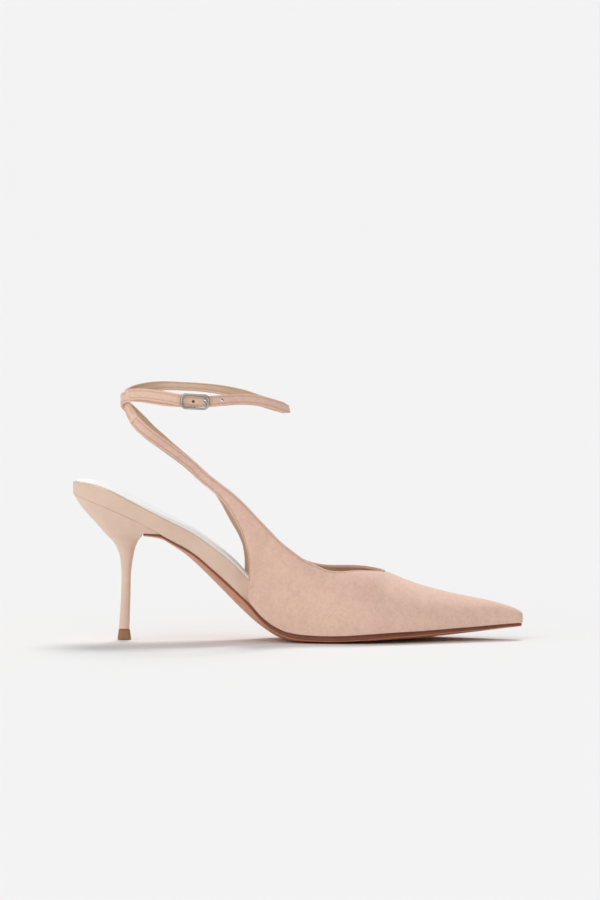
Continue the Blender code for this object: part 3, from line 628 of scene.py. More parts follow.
class NodeBuilder:
    """Node tree with one method that adds every node."""

    tree: bpy.types.NodeTree

    def add(
        self,
        kind: str,
        settings: dict[str, object] | None = None,
        inputs: dict[str | int, object] | None = None,
    ) -> bpy.types.Node:
        """Add a node.

        Args:
            kind: Type of the node.
            settings: Properties that are set first.
            inputs: Values, signals or sockets by input name, identifier or index.

        Returns:
            The new node.
        """
        node = self.tree.nodes.new(kind)
        for name, value in (settings or {}).items():
            setattr(node, name, value)
        for key, value in (inputs or {}).items():
            self.feed(self.find(node, key), value)
        return node

    @staticmethod
    def find(node: bpy.types.Node, key: str | int) -> bpy.types.NodeSocket:
        """Return a node's input by index, identifier or name.

        Args:
            node: The node.
            key: Index, identifier or name.

        Returns:
            The input.
        """
        if isinstance(key, int):
            return node.inputs[key]
        named = (socket for socket in node.inputs if socket.identifier == key)
        return next(named, None) or node.inputs[key]

    def feed(self, target: bpy.types.NodeSocket, value: object) -> None:
        """Link a signal or socket into an input, or set its value.

        Args:
            target: The input.
            value: Signal, socket or constant.
        """
        if isinstance(value, Signal):
            self.tree.links.new(value.socket, target)
        elif isinstance(value, bpy.types.NodeSocket):
            self.tree.links.new(value, target)
        elif target.type == "RGBA" and len(value) == 3:
            target.default_value = (*value, 1.0)
        else:
            target.default_value = value


class Graph(NodeBuilder):
    """Node tree of one material."""

    def __init__(self, name: str) -> None:
        """Make a material with a bare Principled shader.

        Args:
            name: Name of the material.
        """
        self.material = bpy.data.materials.new(name)
        self.material.use_nodes = True
        self.tree = self.material.node_tree
        self.shader = self.tree.nodes["Principled BSDF"]
        self.place = self.add("ShaderNodeTexCoord").outputs["Object"]
        self.strip = self.add("ShaderNodeUVMap", {"uv_map": "Place"}).outputs["UV"]

    def noise(
        self,
        size: float,
        detail: float = 2.0,
        stretch: Sequence[float] = (1, 1, 1),
        shift: float = 0.0,
        roughness: float = 0.55,
    ) -> Signal:
        """Return noise on Object coordinates.

        Args:
            size: Size of its features in millimetres.
            detail: Number of finer layers.
            stretch: How much longer the features are along each axis.
            shift: Shift of the pattern, so that two noises differ.
            roughness: Strength of each finer layer against the one before.

        Returns:
            A signal between 0 and 1.
        """
        scale = [1.0 / (size * MM * part) for part in stretch]
        moved = {"Vector": self.place, "Location": (shift, shift, shift), "Scale": scale}
        mapping = self.add("ShaderNodeMapping", None, moved)
        node = self.add(
            "ShaderNodeTexNoise",
            None,
            {"Vector": mapping.outputs[0], "Scale": 1.0, "Detail": detail, "Roughness": roughness},
        )
        return Signal(self, node.outputs[0])

    def cells(self, size: float) -> Signal:
        """Return distance to cell middles of a given size in millimetres, as leather grain."""
        node = self.add("ShaderNodeTexVoronoi", None, {"Vector": self.place, "Scale": 1.0 / (size * MM)})
        return Signal(self, node.outputs["Distance"])

    def mark(self, name: str) -> Signal:
        """Return a number that is kept on the piece's points."""
        return Signal(self, self.add("ShaderNodeAttribute", {"attribute_name": name}).outputs["Fac"])

    def across(self) -> Signal:
        """Return the second place coordinate, the share or distance across a piece."""
        return Signal(self, self.add("ShaderNodeSeparateXYZ", None, {0: self.strip}).outputs[1])

    def dress(self, **values: object) -> bpy.types.Material:
        """Feed the shader's sockets by name, with _ for a space, and return the material."""
        for name, value in values.items():
            self.feed(self.shader.inputs[name.replace("_", " ")], value)
        return self.material

    def bump(self, height: Signal, depth: float) -> bpy.types.NodeSocket:
        """Return a normal from a height signal and a depth in millimetres."""
        relief = {"Height": height, "Distance": depth * MM, "Strength": 1.0}
        return self.add("ShaderNodeBump", None, relief).outputs[0]


@dataclass(frozen=True)
class SuedeFinish:
    """Short-napped blush suede with warm and pink patches."""

    name: str = "blush_suede"
    pink: tuple[float, float, float] = (0.862, 0.572, 0.472)
    warm: tuple[float, float, float] = (0.89, 0.622, 0.478)
    dark: tuple[float, float, float] = (0.72, 0.45, 0.36)
    # Colour of the painted shade in the pressed seam grooves.
    seam: tuple[float, float, float] = (0.42, 0.24, 0.175)
    nap: float = 0.55
    nap_depth: float = 0.10

    def build(self) -> bpy.types.Material:
        """Return the material."""
        graph = Graph(self.name)
        patches = graph.noise(24.0, 3.0)
        clouds = graph.noise(5.0, 4.0, shift=3.0)
        fibres = graph.noise(self.nap, 3.0, (1.6, 1.6, 0.8), 7.0)
        specks = graph.noise(1.7, 2.0, shift=11.0)
        tone = (patches * 0.7 + clouds * 0.3).step(0.3, 0.7)
        base = tone.colour(self.pink, self.warm)
        shade = (clouds * 0.3 + fibres * 0.35 + specks * 0.35).step(0.6, 0.34) * 0.6
        colour = shade.colour(base, self.dark)
        height = fibres * 0.6 + clouds * 0.4
        # Painted shade in the pressed seam grooves.
        colour = (graph.mark("seam") * 0.26).colour(colour, self.seam)
        return graph.dress(
            Base_Color=colour,
            Roughness=fibres * 0.12 + 0.82,
            Normal=graph.bump(height, self.nap_depth),
            Sheen_Weight=0.5,
            Sheen_Roughness=0.45,
            Sheen_Tint=(1.0, 0.9, 0.85, 1.0),
            Specular_IOR_Level=0.2,
        )


@dataclass(frozen=True)
class LeatherFinish:
    """Smooth leather with a fine grain, soft sheen and slow changes of tone."""

    name: str
    light: tuple[float, float, float]
    deep: tuple[float, float, float]
    roughness: float
    grain: float = 0.5
    grain_depth: float = 0.03
    coat: float = 0.0

    def build(self) -> bpy.types.Material:
        """Return the material."""
        graph = Graph(self.name)
        tone = graph.noise(14.0, 3.0).step(0.3, 0.7)
        pores = graph.cells(self.grain)
        haze = graph.noise(2.2, 3.0, shift=5.0)
        colour = (tone * 0.8 + pores * 0.2).colour(self.deep, self.light)
        # Painted shade in the pressed seam grooves, where a piece has them.
        colour = (graph.mark("seam") * 0.2).colour(colour, tuple(0.55 * part for part in self.deep))
        return graph.dress(
            Base_Color=colour,
            Roughness=haze * 0.16 + (self.roughness - 0.08),
            Normal=graph.bump(pores * 0.6 + haze * 0.4, self.grain_depth),
            Coat_Weight=self.coat,
            Coat_Roughness=0.3,
            Specular_IOR_Level=0.45,
        )


@dataclass(frozen=True)
class MetalFinish:
    """Polished nickel plate with faint hazing, a painted highlight on one face of each wire and painted
    shade on the rest of its round.
    """

    name: str
    colour: tuple[float, float, float]
    roughness: float

    def build(self) -> bpy.types.Material:
        """Return the material."""
        graph = Graph(self.name)
        haze = graph.noise(1.5, 3.0)
        around = graph.across()
        # Painted highlight: full nickel colour on a band of each wire's round, its outward face on the
        # frame; the rest is painted shade at 0.3 of it.
        face = around.step(0.06, 0.2) * (1 - around.step(0.3, 0.44))
        return graph.dress(
            Base_Color=face.colour(tuple(0.3 * part for part in self.colour), self.colour),
            Metallic=1.0,
            Roughness=haze * 0.12 + (self.roughness - 0.05),
            Normal=graph.bump(haze, 0.01),
        )


@dataclass(frozen=True)
class ThreadFinish:
    """Sewing thread, with a painted highlight where its twist stands up."""

    name: str
    light: tuple[float, float, float]
    deep: tuple[float, float, float]

    def build(self) -> bpy.types.Material:
        """Return the material."""
        graph = Graph(self.name)
        twist = graph.noise(0.3, 1.0)
        # Painted highlight on the raised twist and painted shade between, from the same noise as the bump.
        return graph.dress(
            Base_Color=twist.step(0.35, 0.65).colour(self.deep, self.light),
            Roughness=0.7,
            Normal=graph.bump(twist, 0.05),
        )


class Palette:
    """Every material of the shoe, built once."""

    def __init__(self) -> None:
        """Build the materials."""
        self.suede = SuedeFinish().build()
        self.cover = LeatherFinish(
            "nude_cover_leather", (0.83, 0.61, 0.475), (0.775, 0.55, 0.43), 0.4, coat=0.2
        ).build()
        self.lining = LeatherFinish("tan_lining", (0.68, 0.465, 0.32), (0.62, 0.41, 0.265), 0.6).build()
        self.cut_edge = LeatherFinish("painted_edge", (0.71, 0.46, 0.36), (0.63, 0.39, 0.3), 0.7).build()
        self.sock = LeatherFinish("cream_sock", (0.97, 0.95, 0.925), (0.95, 0.935, 0.905), 0.55).build()
        self.sole = LeatherFinish(
            "red_brown_sole", (0.66, 0.265, 0.135), (0.53, 0.195, 0.1), 0.45, coat=0.1
        ).build()
        # Side faces of the outsole: partly real edge ink, partly painted shade of the gap under the upper.
        self.sole_edge = LeatherFinish(
            "inked_sole_edge", (0.26, 0.085, 0.04), (0.2, 0.06, 0.027), 0.4
        ).build()
        self.lift = LeatherFinish("brown_top_piece", (0.38, 0.19, 0.095), (0.3, 0.145, 0.068), 0.5).build()
        self.nickel = MetalFinish("polished_nickel", (0.5, 0.48, 0.43), 0.2).build()
        self.thread = ThreadFinish("blush_thread", (0.68, 0.46, 0.36), (0.56, 0.36, 0.27)).build()
        # Dark hole walls: painted shade inside the punched holes, much darker than the strap's cut edge.
        self.hole = LeatherFinish("hole_wall", (0.32, 0.18, 0.12), (0.24, 0.12, 0.08), 0.8).build()


def add_object(name: str, data: bpy.types.ID) -> bpy.types.Object:
    """Return a new object of the scene for a mesh, light or camera."""
    item = bpy.data.objects.new(name, data)
    bpy.context.scene.collection.objects.link(item)
    return item


@dataclass
class MeshDraft:
    """Vertices and faces of one piece in millimetres, with a place for every corner."""

    name: str
    points: list[Vector] = field(default_factory=list)
    faces: list[tuple[int, ...]] = field(default_factory=list)
    places: list[list[tuple[float, float]]] = field(default_factory=list)
    slots: list[int] = field(default_factory=list)

    def add_face(
        self, corners: Sequence[int], places: Sequence[tuple[float, float]], slot: int = 0
    ) -> None:
        """Add a face with the place of each corner and its material slot."""
        self.faces.append(tuple(corners))
        self.places.append(list(places))
        self.slots.append(slot)

    def add_grid(self, rows: Sequence[Sequence[Vector]], flip: bool = False, slot: int = 0) -> None:
        """Add an open sheet through rows of equal count.

        Args:
            rows: Rows of points.
            flip: Whether the faces turn the other way.
            slot: Material slot of the faces.
        """
        base = len(self.points)
        width = len(rows[0])
        middle = width // 2
        travel = 0.0
        marks: list[list[tuple[float, float]]] = []
        for index, row in enumerate(rows):
            if index:
                travel += (row[middle] - rows[index - 1][middle]).length
            climb = 0.0
            line = []
            for step, point in enumerate(row):
                if step:
                    climb += (point - row[step - 1]).length
                line.append((travel * MM, climb * MM))
            marks.append(line)
            self.points.extend(row)
        for index in range(len(rows) - 1):
            for step in range(width - 1):
                cells = [(index, step), (index, step + 1), (index + 1, step + 1), (index + 1, step)]
                if flip:
                    cells.reverse()
                corners = [base + row * width + place for row, place in cells]
                self.add_face(corners, [marks[row][place] for row, place in cells], slot)

    def add_loft(
        self,
        rings: Sequence[Sequence[Vector]],
        slot_of: Callable[[int], int] = lambda step: 0,
        closed: bool = False,
    ) -> None:
        """Add a tube through rings of equal count, with flat ends or closed on itself.

        Args:
            rings: Rings of points.
            slot_of: Material slot by the step around the ring.
            closed: Whether the last ring joins the first.
        """
        base = len(self.points)
        width = len(rings[0])
        travel = [0.0]
        for before, after in zip(rings, rings[1:]):
            stride = sum(after, Vector()) / width - sum(before, Vector()) / width
            travel.append(travel[-1] + stride.length * MM)
        for ring in rings:
            self.points.extend(ring)
        last = len(rings) if closed else len(rings) - 1
        for index in range(last):
            after = (index + 1) % len(rings)
            for step in range(width):
                turn = (step + 1) % width
                corners = (index, step), (index, turn), (after, turn), (after, step)
                ends = (travel[index], step / width), (travel[index], (step + 1) / width)
                far = travel[after] if after else travel[index]
                marks = [*ends, (far, (step + 1) / width), (far, step / width)]
                self.add_face([base + r * width + s for r, s in corners], marks, slot_of(step))
        if not closed:
            for index, backwards in ((0, True), (len(rings) - 1, False)):
                order = list(range(width))
                if backwards:
                    order.reverse()
                self.add_face(
                    [base + index * width + step for step in order],
                    [(travel[index], step / width) for step in order],
                    slot_of(0),
                )

    def build(self, materials: Sequence[bpy.types.Material], turn_out: bool = True) -> bpy.types.Object:
        """Make the object.

        Args:
            materials: Materials by slot.
            turn_out: Whether the normals of this closed mesh are made to point outwards.

        Returns:
            A smooth object linked to the scene.
        """
        mesh = bpy.data.meshes.new(self.name)
        mesh.from_pydata([tuple(point * MM) for point in self.points], [], self.faces)
        layer = mesh.uv_layers.new(name="Place")
        marks = [mark for place in self.places for mark in place]
        for loop, mark in zip(layer.data, marks):
            loop.uv = mark
        mesh.polygons.foreach_set("material_index", self.slots)
        mesh.polygons.foreach_set("use_smooth", [True] * len(self.faces))
        for material in materials:
            mesh.materials.append(material)
        shape = bmesh.new()
        shape.from_mesh(mesh)
        bmesh.ops.remove_doubles(shape, verts=shape.verts, dist=WELD)
        if turn_out:
            bmesh.ops.recalc_face_normals(shape, faces=shape.faces)
        shape.to_mesh(mesh)
        shape.free()
        return add_object(self.name, mesh)


def settle(item: bpy.types.Object) -> bpy.types.Object:
    """Turn an object's modifiers into its plain mesh and return it.

    Args:
        item: Object with modifiers.

    Returns:
        The same object without them.
    """
    graph = bpy.context.evaluated_depsgraph_get()
    mesh = bpy.data.meshes.new_from_object(item.evaluated_get(graph))
    mesh.name = item.name
    item.modifiers.clear()
    item.data = mesh
    return item


def press_seams(item: bpy.types.Object, lines: Sequence[Line], width: float, depth: float) -> None:
    """Press soft grooves along lines into a mesh, and keep them as the attribute that paints shade into
    each groove.

    Args:
        item: Object whose mesh is pressed.
        lines: Lines of points, each with its normal.
        width: Half width of a groove in millimetres.
        depth: Depth of a groove in millimetres.
    """
    points = [(line, index) for line in lines for index in range(len(line))]
    tree = KDTree(len(points))
    for number, (line, index) in enumerate(points):
        tree.insert(line[index][0], number)
    tree.balance()
    mesh = item.data
    marks = []
    normals = [vertex.normal.copy() for vertex in mesh.vertices]
    reach = SEAM_WIDTHS * width + SEAM_MARGIN
    for vertex, normal in zip(mesh.vertices, normals):
        place = vertex.co / MM
        _, number, distance = tree.find(place)
        line, index = points[number]
        for near in (index - 1, index + 1):
            if distance < reach and 0 <= near < len(line):
                span = line[near][0] - line[index][0]
                offset = place - line[index][0]
                share = min(max(offset.dot(span) / max(span.length_squared, TINY), 0.0), 1.0)
                distance = min(distance, (offset - span * share).length)
        mark = math.exp(-((distance / width) ** 2))
        marks.append(mark)
        vertex.co -= normal * mark * depth * MM
    # The groove's depth mark, kept for the painted shade in each groove.
    mesh.attributes.new("seam", "FLOAT", "POINT").data.foreach_set("value", marks)


def hand_over(item: bpy.types.Object, slot: Slot, *nodes: str) -> None:
    """Let a finished piece ride, hide the nodes it stands for, and log its faces.

    Args:
        item: The finished piece.
        slot: Its material slot; not used.
        *nodes: Nodes of the frame that it replaces.
    """
    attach(item, ROOT)
    if nodes:
        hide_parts(*nodes)
    LOG.info("%s: %d faces", item.name, len(item.data.polygons))


@dataclass
class LastShape:
    """The last's bottom: the outline and the heights that every piece of the bottom follows."""

    back_x: float = -28.4
    toe_x: float = 221.6
    seat_radius: float = 23.0
    toe_radius: float = 4.5
    board_inset: float = 2.4
    wrap_start_x: float = 61.0
    wrap_full_x: float = 68.0
    board_cup: float = 1.3
    gap: float = 0.3

    def __post_init__(self) -> None:
        """Turn the table's columns into profiles."""
        self.half, self.centre, self.edge_z, self.camber, self.board_z = columns(LAST)

    def outline_half(self, x: float) -> float:
        """Return the half breadth of the outline with its round seat and toe."""
        ends = round_end(x - self.back_x, self.seat_radius) * round_end(self.toe_x - x, self.toe_radius)
        return self.half(x) * ends

    def inset(self, x: float) -> float:
        """Return how far the board is set in where the upper wraps it."""
        return self.board_inset * smooth_step(self.wrap_start_x, self.wrap_full_x, x)

    def across_share(self, x: float, y: float) -> float:
        """Return the place across the last, from -1 on the outer edge to 1 on the inner."""
        return min(max((y - self.centre(x)) / max(self.half(x), 1.0), -1.0), 1.0)

    def board_bottom(self, x: float, y: float) -> float:
        """Return the height of the underside of the insole board."""
        return self.edge_z(x) - self.camber(x) * (1.0 - self.across_share(x, y) ** 2)

    def board_top(self, x: float, y: float) -> float:
        """Return the height of the cupped top of the insole board."""
        return self.board_z(x) - self.board_cup * (1.0 - self.across_share(x, y) ** 2)

    def feather(self, x: float, side: Side, overhang: float = 0.8, fade: float = 12.0) -> Vector:
        """Return the point of the upper's lower edge on the outsole."""
        reach = self.outline_half(x) + overhang * round_end(self.toe_x - x, fade)
        return Vector((x, self.centre(x) + side.value * reach, self.edge_z(x) + self.gap))


@dataclass
class Plate:
    """A plate of the bottom with rounded edges, lofted through sections across the shoe."""

    name: str
    last: LastShape
    half: Callable[[float], float]
    top: Callable[[float, float], float]
    bottom: Callable[[float, float], float]
    top_round: float
    bottom_round: float
    across: int = 44
    probe: float = 0.02
    least_thick: float = 0.05
    round_share: float = 0.48

    def edge_distance(self, x: float, y: float) -> float:
        """Return the distance of a point from the plate's outline, to first order."""
        slope = (self.half(x + self.probe) - self.half(x - self.probe)) / (2 * self.probe)
        return max(self.half(x) - abs(y - self.last.centre(x)), 0.0) / math.hypot(1.0, slope)

    def drop(self, x: float, y: float, radius: float) -> float:
        """Return how far the rounded edge lies below the flat of the plate."""
        return radius * (1.0 - round_end(self.edge_distance(x, y), radius)) if radius else 0.0

    def ring(self, x: float) -> list[Vector]:
        """Return the section at x, over the top and back below.

        Args:
            x: Place along the shoe.

        Returns:
            The section's points.
        """
        half, centre = self.half(x), self.last.centre(x)
        points = []
        for side in (1, -1):
            for step in range(self.across + 1):
                y = centre - side * half * math.cos(math.pi * step / self.across)
                top, bottom = self.top(x, y), self.bottom(x, y)
                room = max(top - bottom, self.least_thick) * self.round_share
                if side > 0:
                    z = top - self.drop(x, y, min(self.top_round, room))
                else:
                    z = bottom + self.drop(x, y, min(self.bottom_round, room))
                points.append(Vector((x, y, z)))
        return points

    def build(
        self, stations: Sequence[float], materials: Sequence[bpy.types.Material], edge_slot: int = 0
    ) -> bpy.types.Object:
        """Make the plate through its stations, with another slot for its side faces.

        Args:
            stations: Places along the shoe.
            materials: Materials by slot.
            edge_slot: Slot of the side faces.

        Returns:
            The plate's object.
        """
        draft = MeshDraft(self.name)
        sides = (self.across, 2 * self.across + 1)
        draft.add_loft([self.ring(x) for x in stations], lambda step: edge_slot if step in sides else 0)
        return draft.build(materials)


@dataclass
class Bottom:
    """Covered board, sock and outsole."""

    last: LastShape
    palette: Palette
    board_toe_x: float = 217.0
    sock_thick: float = 0.6
    sock_inset: float = 1.2
    sole_back_x: float = 10.6
    sole_toe_x: float = 221.0
    sole_back_round: float = 4.0
    sole_back_cut: float = 0.6
    close_gap: float = 0.08
    lip_end_x: float = 20.6
    lip_rise: float = 0.7
    lip_fade: float = 1.4
    end_clear: float = 0.01
    board_rounds: tuple[float, float] = (0.9, 0.22)
    sock_rounds: tuple[float, float] = (0.25, 0.1)
    sole_rounds: tuple[float, float] = (0.1, 0.35)
    stations: int = 170
    sock_stations: int = 150
    ball_flat: float = 0.5
    ball_start_x: float = 70.0
    ball_full_x: float = 98.0

    def __post_init__(self) -> None:
        """Turn the outsole's columns into profiles."""
        self.set_in, self.lip_room, self.edge_thick, self.bottom_z = columns(SOLE)

    def board_half(self, x: float) -> float:
        """Return the half breadth of the board."""
        ends = round_end(self.board_toe_x - x, self.last.toe_radius)
        ends *= round_end(x - self.last.back_x, self.last.seat_radius)
        return max((self.last.half(x) - self.last.inset(x)) * ends, 0.0)

    def sock_half(self, x: float) -> float:
        """Return the half breadth of the sock."""
        start, end = self.last.back_x + self.sock_inset, self.board_toe_x - 2 * self.sock_inset
        ends = round_end(x - start, self.last.seat_radius) * round_end(end - x, self.last.toe_radius)
        return (self.last.half(x) - self.sock_inset - self.last.inset(x)) * ends

    def sock_low(self, x: float, y: float) -> float:
        """Return the height of the sock's underside, close on the board."""
        return self.last.board_top(x, y) + self.close_gap

    def sock_high(self, x: float, y: float) -> float:
        """Return the height of the sock's top."""
        return self.last.board_top(x, y) + self.last.gap + self.sock_thick

    def sole_half(self, x: float) -> float:
        """Return the half breadth of the outsole."""
        back = round_end(x - self.sole_back_x + self.sole_back_cut, self.sole_back_round)
        toe = round_end(self.sole_toe_x - x, self.last.toe_radius)
        return (self.last.half(x) - self.set_in(x)) * back * toe

    def sole_top(self, x: float, y: float) -> float:
        """Return the height of the outsole's top, lower under the heel's lip."""
        fade = 1.0 - smooth_step(self.lip_end_x, self.lip_end_x + self.lip_fade, x)
        room = max(self.lip_room(x) - self.lip_rise, 0.0) * fade
        return self.last.board_bottom(x, y) - self.close_gap - room

    def sole_bottom(self, x: float, y: float) -> float:
        """Return the height of the outsole's underside: a flat middle, rising to the edges.

        Args:
            x: Place along the shoe.
            y: Place across it.

        Returns:
            The height.
        """
        half = max(self.sole_half(x), 0.5)
        share = min(abs(y - self.last.centre(x)) / half, 1.0)
        edge = self.sole_top(x, self.last.centre(x) + half) - self.edge_thick(x)
        flat = self.ball_flat * smooth_step(self.ball_start_x, self.ball_full_x, x)
        rise = max(0.0, (share - flat) / (1.0 - flat))
        return self.bottom_z(x) + max(edge - self.bottom_z(x), 0.0) * rise * rise

    def build(self) -> None:
        """Make the three plates."""
        last, clear = self.last, self.end_clear
        faces = self.board_half, last.board_top, last.board_bottom
        board = Plate("band_and_board", last, *faces, *self.board_rounds)
        stations = crowded(last.back_x + clear, self.board_toe_x - clear, self.stations)
        hand_over(board.build(stations, [self.palette.cover]), Slot.COVER, "insole_board")
        faces = self.sock_half, self.sock_high, self.sock_low
        sock = Plate("cream_sock", last, *faces, *self.sock_rounds)
        start, end = last.back_x + self.sock_inset, self.board_toe_x - 2 * self.sock_inset
        stations = crowded(start + clear, end - clear, self.sock_stations)
        hand_over(sock.build(stations, [self.palette.sock]), Slot.SOCK, "insole_sock")
        faces = self.sole_half, self.sole_top, self.sole_bottom
        sole = Plate("leather_outsole", last, *faces, *self.sole_rounds)
        stations = crowded(self.sole_back_x, self.sole_toe_x - clear, self.stations)
        # The side faces take the edge ink with its painted shade.
        item = sole.build(stations, [self.palette.sole, self.palette.sole_edge], 1)
        hand_over(item, Slot.SOLE, "outsole")


@dataclass
class HeelPart:
    """Covered stiletto heel and its top piece."""

    last: LastShape
    bottom: Bottom
    palette: Palette
    lip_x: float = 20.4
    around: int = 72
    stations: int = 110
    side_power: float = 0.9
    breast_power: float = 0.6
    breast_side_power: float = 0.8
    seat_power: float = 0.35
    seat_shift: float = 2.0
    seat_set_in: float = 0.1
    lip_set_in: float = 0.1
    sole_clearance: float = 0.8
    free_seat: float = 0.2
    seat_rings: tuple[float, ...] = (1.0, 0.8, 0.55, 0.3, 0.08)

    def ring(self, row: Sequence[float], scale: float = 1.0) -> list[Vector]:
        """Return the ring of a heel section, blended into the seat outline.

        Args:
            row: Numbers of a HeelRow.
            scale: Size of the ring about its middle, for the rings that close the seat.
        """
        back_x, back_z, front_x, front_z, half, seat = row
        middle, reach = (back_x + front_x) / 2, (front_x - back_x) / 2
        seat_middle = (self.last.back_x + self.lip_x) / 2 + self.seat_shift
        points = []
        for index in range(self.around):
            angle = math.tau * index / self.around
            cosine, sine = math.cos(angle), math.sin(angle)
            in_front = cosine > 0
            along = math.copysign(abs(cosine) ** (self.breast_power if in_front else 1.0), cosine)
            power = self.breast_side_power if in_front else self.side_power
            x, y = middle + reach * along, half * math.copysign(abs(sine) ** power, sine)
            if in_front:
                seat_x = seat_middle + (self.lip_x - seat_middle) * abs(cosine) ** self.seat_power
                breadth = self.last.outline_half(seat_x) - self.lip_set_in
                seat_y = math.copysign(abs(sine) ** self.seat_power, sine) * breadth
            else:
                seat_x = seat_middle + (seat_middle - self.last.back_x - self.seat_set_in) * cosine
                seat_y = math.copysign(max(self.last.outline_half(seat_x) - self.seat_set_in, 0.0), sine)
            z = back_z + (front_z - back_z) * (x - back_x) / (front_x - back_x)
            top = self.last.board_bottom(seat_x, seat_y) - self.bottom.close_gap
            x, y, z = x + (seat_x - x) * seat, y + (seat_y - y) * seat, z + (top - z) * seat**2
            points.append((x, y, z))
        mean_x = sum(point[0] for point in points) / len(points)
        return [self.fitted(mean_x + (x - mean_x) * scale, y * scale, z, seat, scale) for x, y, z in points]

    def fitted(self, x: float, y: float, z: float, seat: float, scale: float) -> Vector:
        """Return a point kept clear of the outsole and the board.

        Args:
            x: Place along the shoe.
            y: Place across it.
            z: Height that is wished for.
            seat: Share of the seat outline in the ring.
            scale: Size of the ring about its middle.

        Returns:
            The point at a height that is free.
        """
        under = self.last.board_bottom(x, y) - self.bottom.close_gap
        if x > self.bottom.sole_back_x - self.sole_clearance:
            z = max(z, self.bottom.sole_top(max(x, self.bottom.sole_back_x), y) + self.last.gap)
        if seat > self.free_seat:
            z = min(z, under)
        return Vector((x, y, under if scale < 1.0 else z))

    def build(self) -> None:
        """Make the heel and its top piece."""
        path = Path(HEEL, (0, 1, 2, 3))
        rings = [self.ring(path.at(index / self.stations)) for index in range(self.stations + 1)]
        seat = HEEL[-1]._replace(seat=1.0)
        rings += [self.ring(seat, scale) for scale in self.seat_rings]
        draft = MeshDraft("covered_heel")
        draft.add_loft(rings)
        hand_over(draft.build([self.palette.cover]), Slot.COVER, "heel")
        lift = MeshDraft("top_piece")
        lift.add_loft([self.ring(row) for row in TOP_PIECE])
        hand_over(lift.build([self.palette.lift]), Slot.LIFT, "heel_tip")


class Fold(NamedTuple):
    """A soft trough or ridge between two points, with its half width and height."""

    start: tuple[float, float, float]
    end: tuple[float, float, float]
    width: float
    height: float


FOLDS = filled(
    Fold,
    ((63.8, -29.0, 65.5), (72.0, -28.0, 68.5), 0.9, -0.25),
    ((74.0, -29.5, 50.0), (86.0, -29.0, 44.0), 5.0, -0.25),
    ((100.0, -34.0, 24.0), (124.0, -36.0, 16.0), 6.0, 0.2),
)


@dataclass
class StrapFrame:
    """Place and directions of a strap at one point of its middle line."""

    point: Vector
    along: Vector
    up: Vector
    outward: Vector


@dataclass
class StrapLine:
    """Middle line of a strap with its lean."""

    rows: Sequence[StrapRow]
    centre: Vector = field(default_factory=lambda: Vector((38.0, 0.0, 135.0)))
    join_gap: float = 0.28
    join_fade: float = 50.0
    probe: float = 0.002

    def __post_init__(self) -> None:
        """Space the rows by their distance."""
        self.path = Path(self.rows, (0, 1, 2))

    @property
    def length(self) -> float:
        """Return the line's length."""
        return self.path.length

    def frame(self, share: float) -> StrapFrame:
        """Return place and directions at a share of the line's length.

        Args:
            share: Place from 0 to 1.

        Returns:
            The strap's frame there.
        """
        x, y, z, lean = self.path.at(share)
        before = self.path.at(max(share - self.probe, 0.0))
        after = self.path.at(min(share + self.probe, 1.0))
        along = Vector([b - a for a, b in zip(before[:3], after[:3])]).normalized()
        up = (Vector((0, 0, 1)) - along * along.z).normalized()
        outward = along.cross(up)
        point = Vector((x, y, z)) - along * self.join_gap * max(1.0 - share * self.join_fade, 0.0)
        away = point - self.centre
        away.z = 0.0
        if outward.dot(away) < 0:
            outward = -outward
        turn = math.radians(lean)
        cosine, sine = math.cos(turn), math.sin(turn)
        return StrapFrame(point, along, up * cosine + outward * sine, outward * cosine - up * sine)

    def share_at(self, x: float, low_share: float = 0.5, steps: int = 2000) -> float:
        """Return the share where the line passes x, past a first share."""
        shares = [low_share + (1.0 - low_share) * index / steps for index in range(steps)]
        return min(shares, key=lambda share: abs(self.path.at(share)[0] - x))


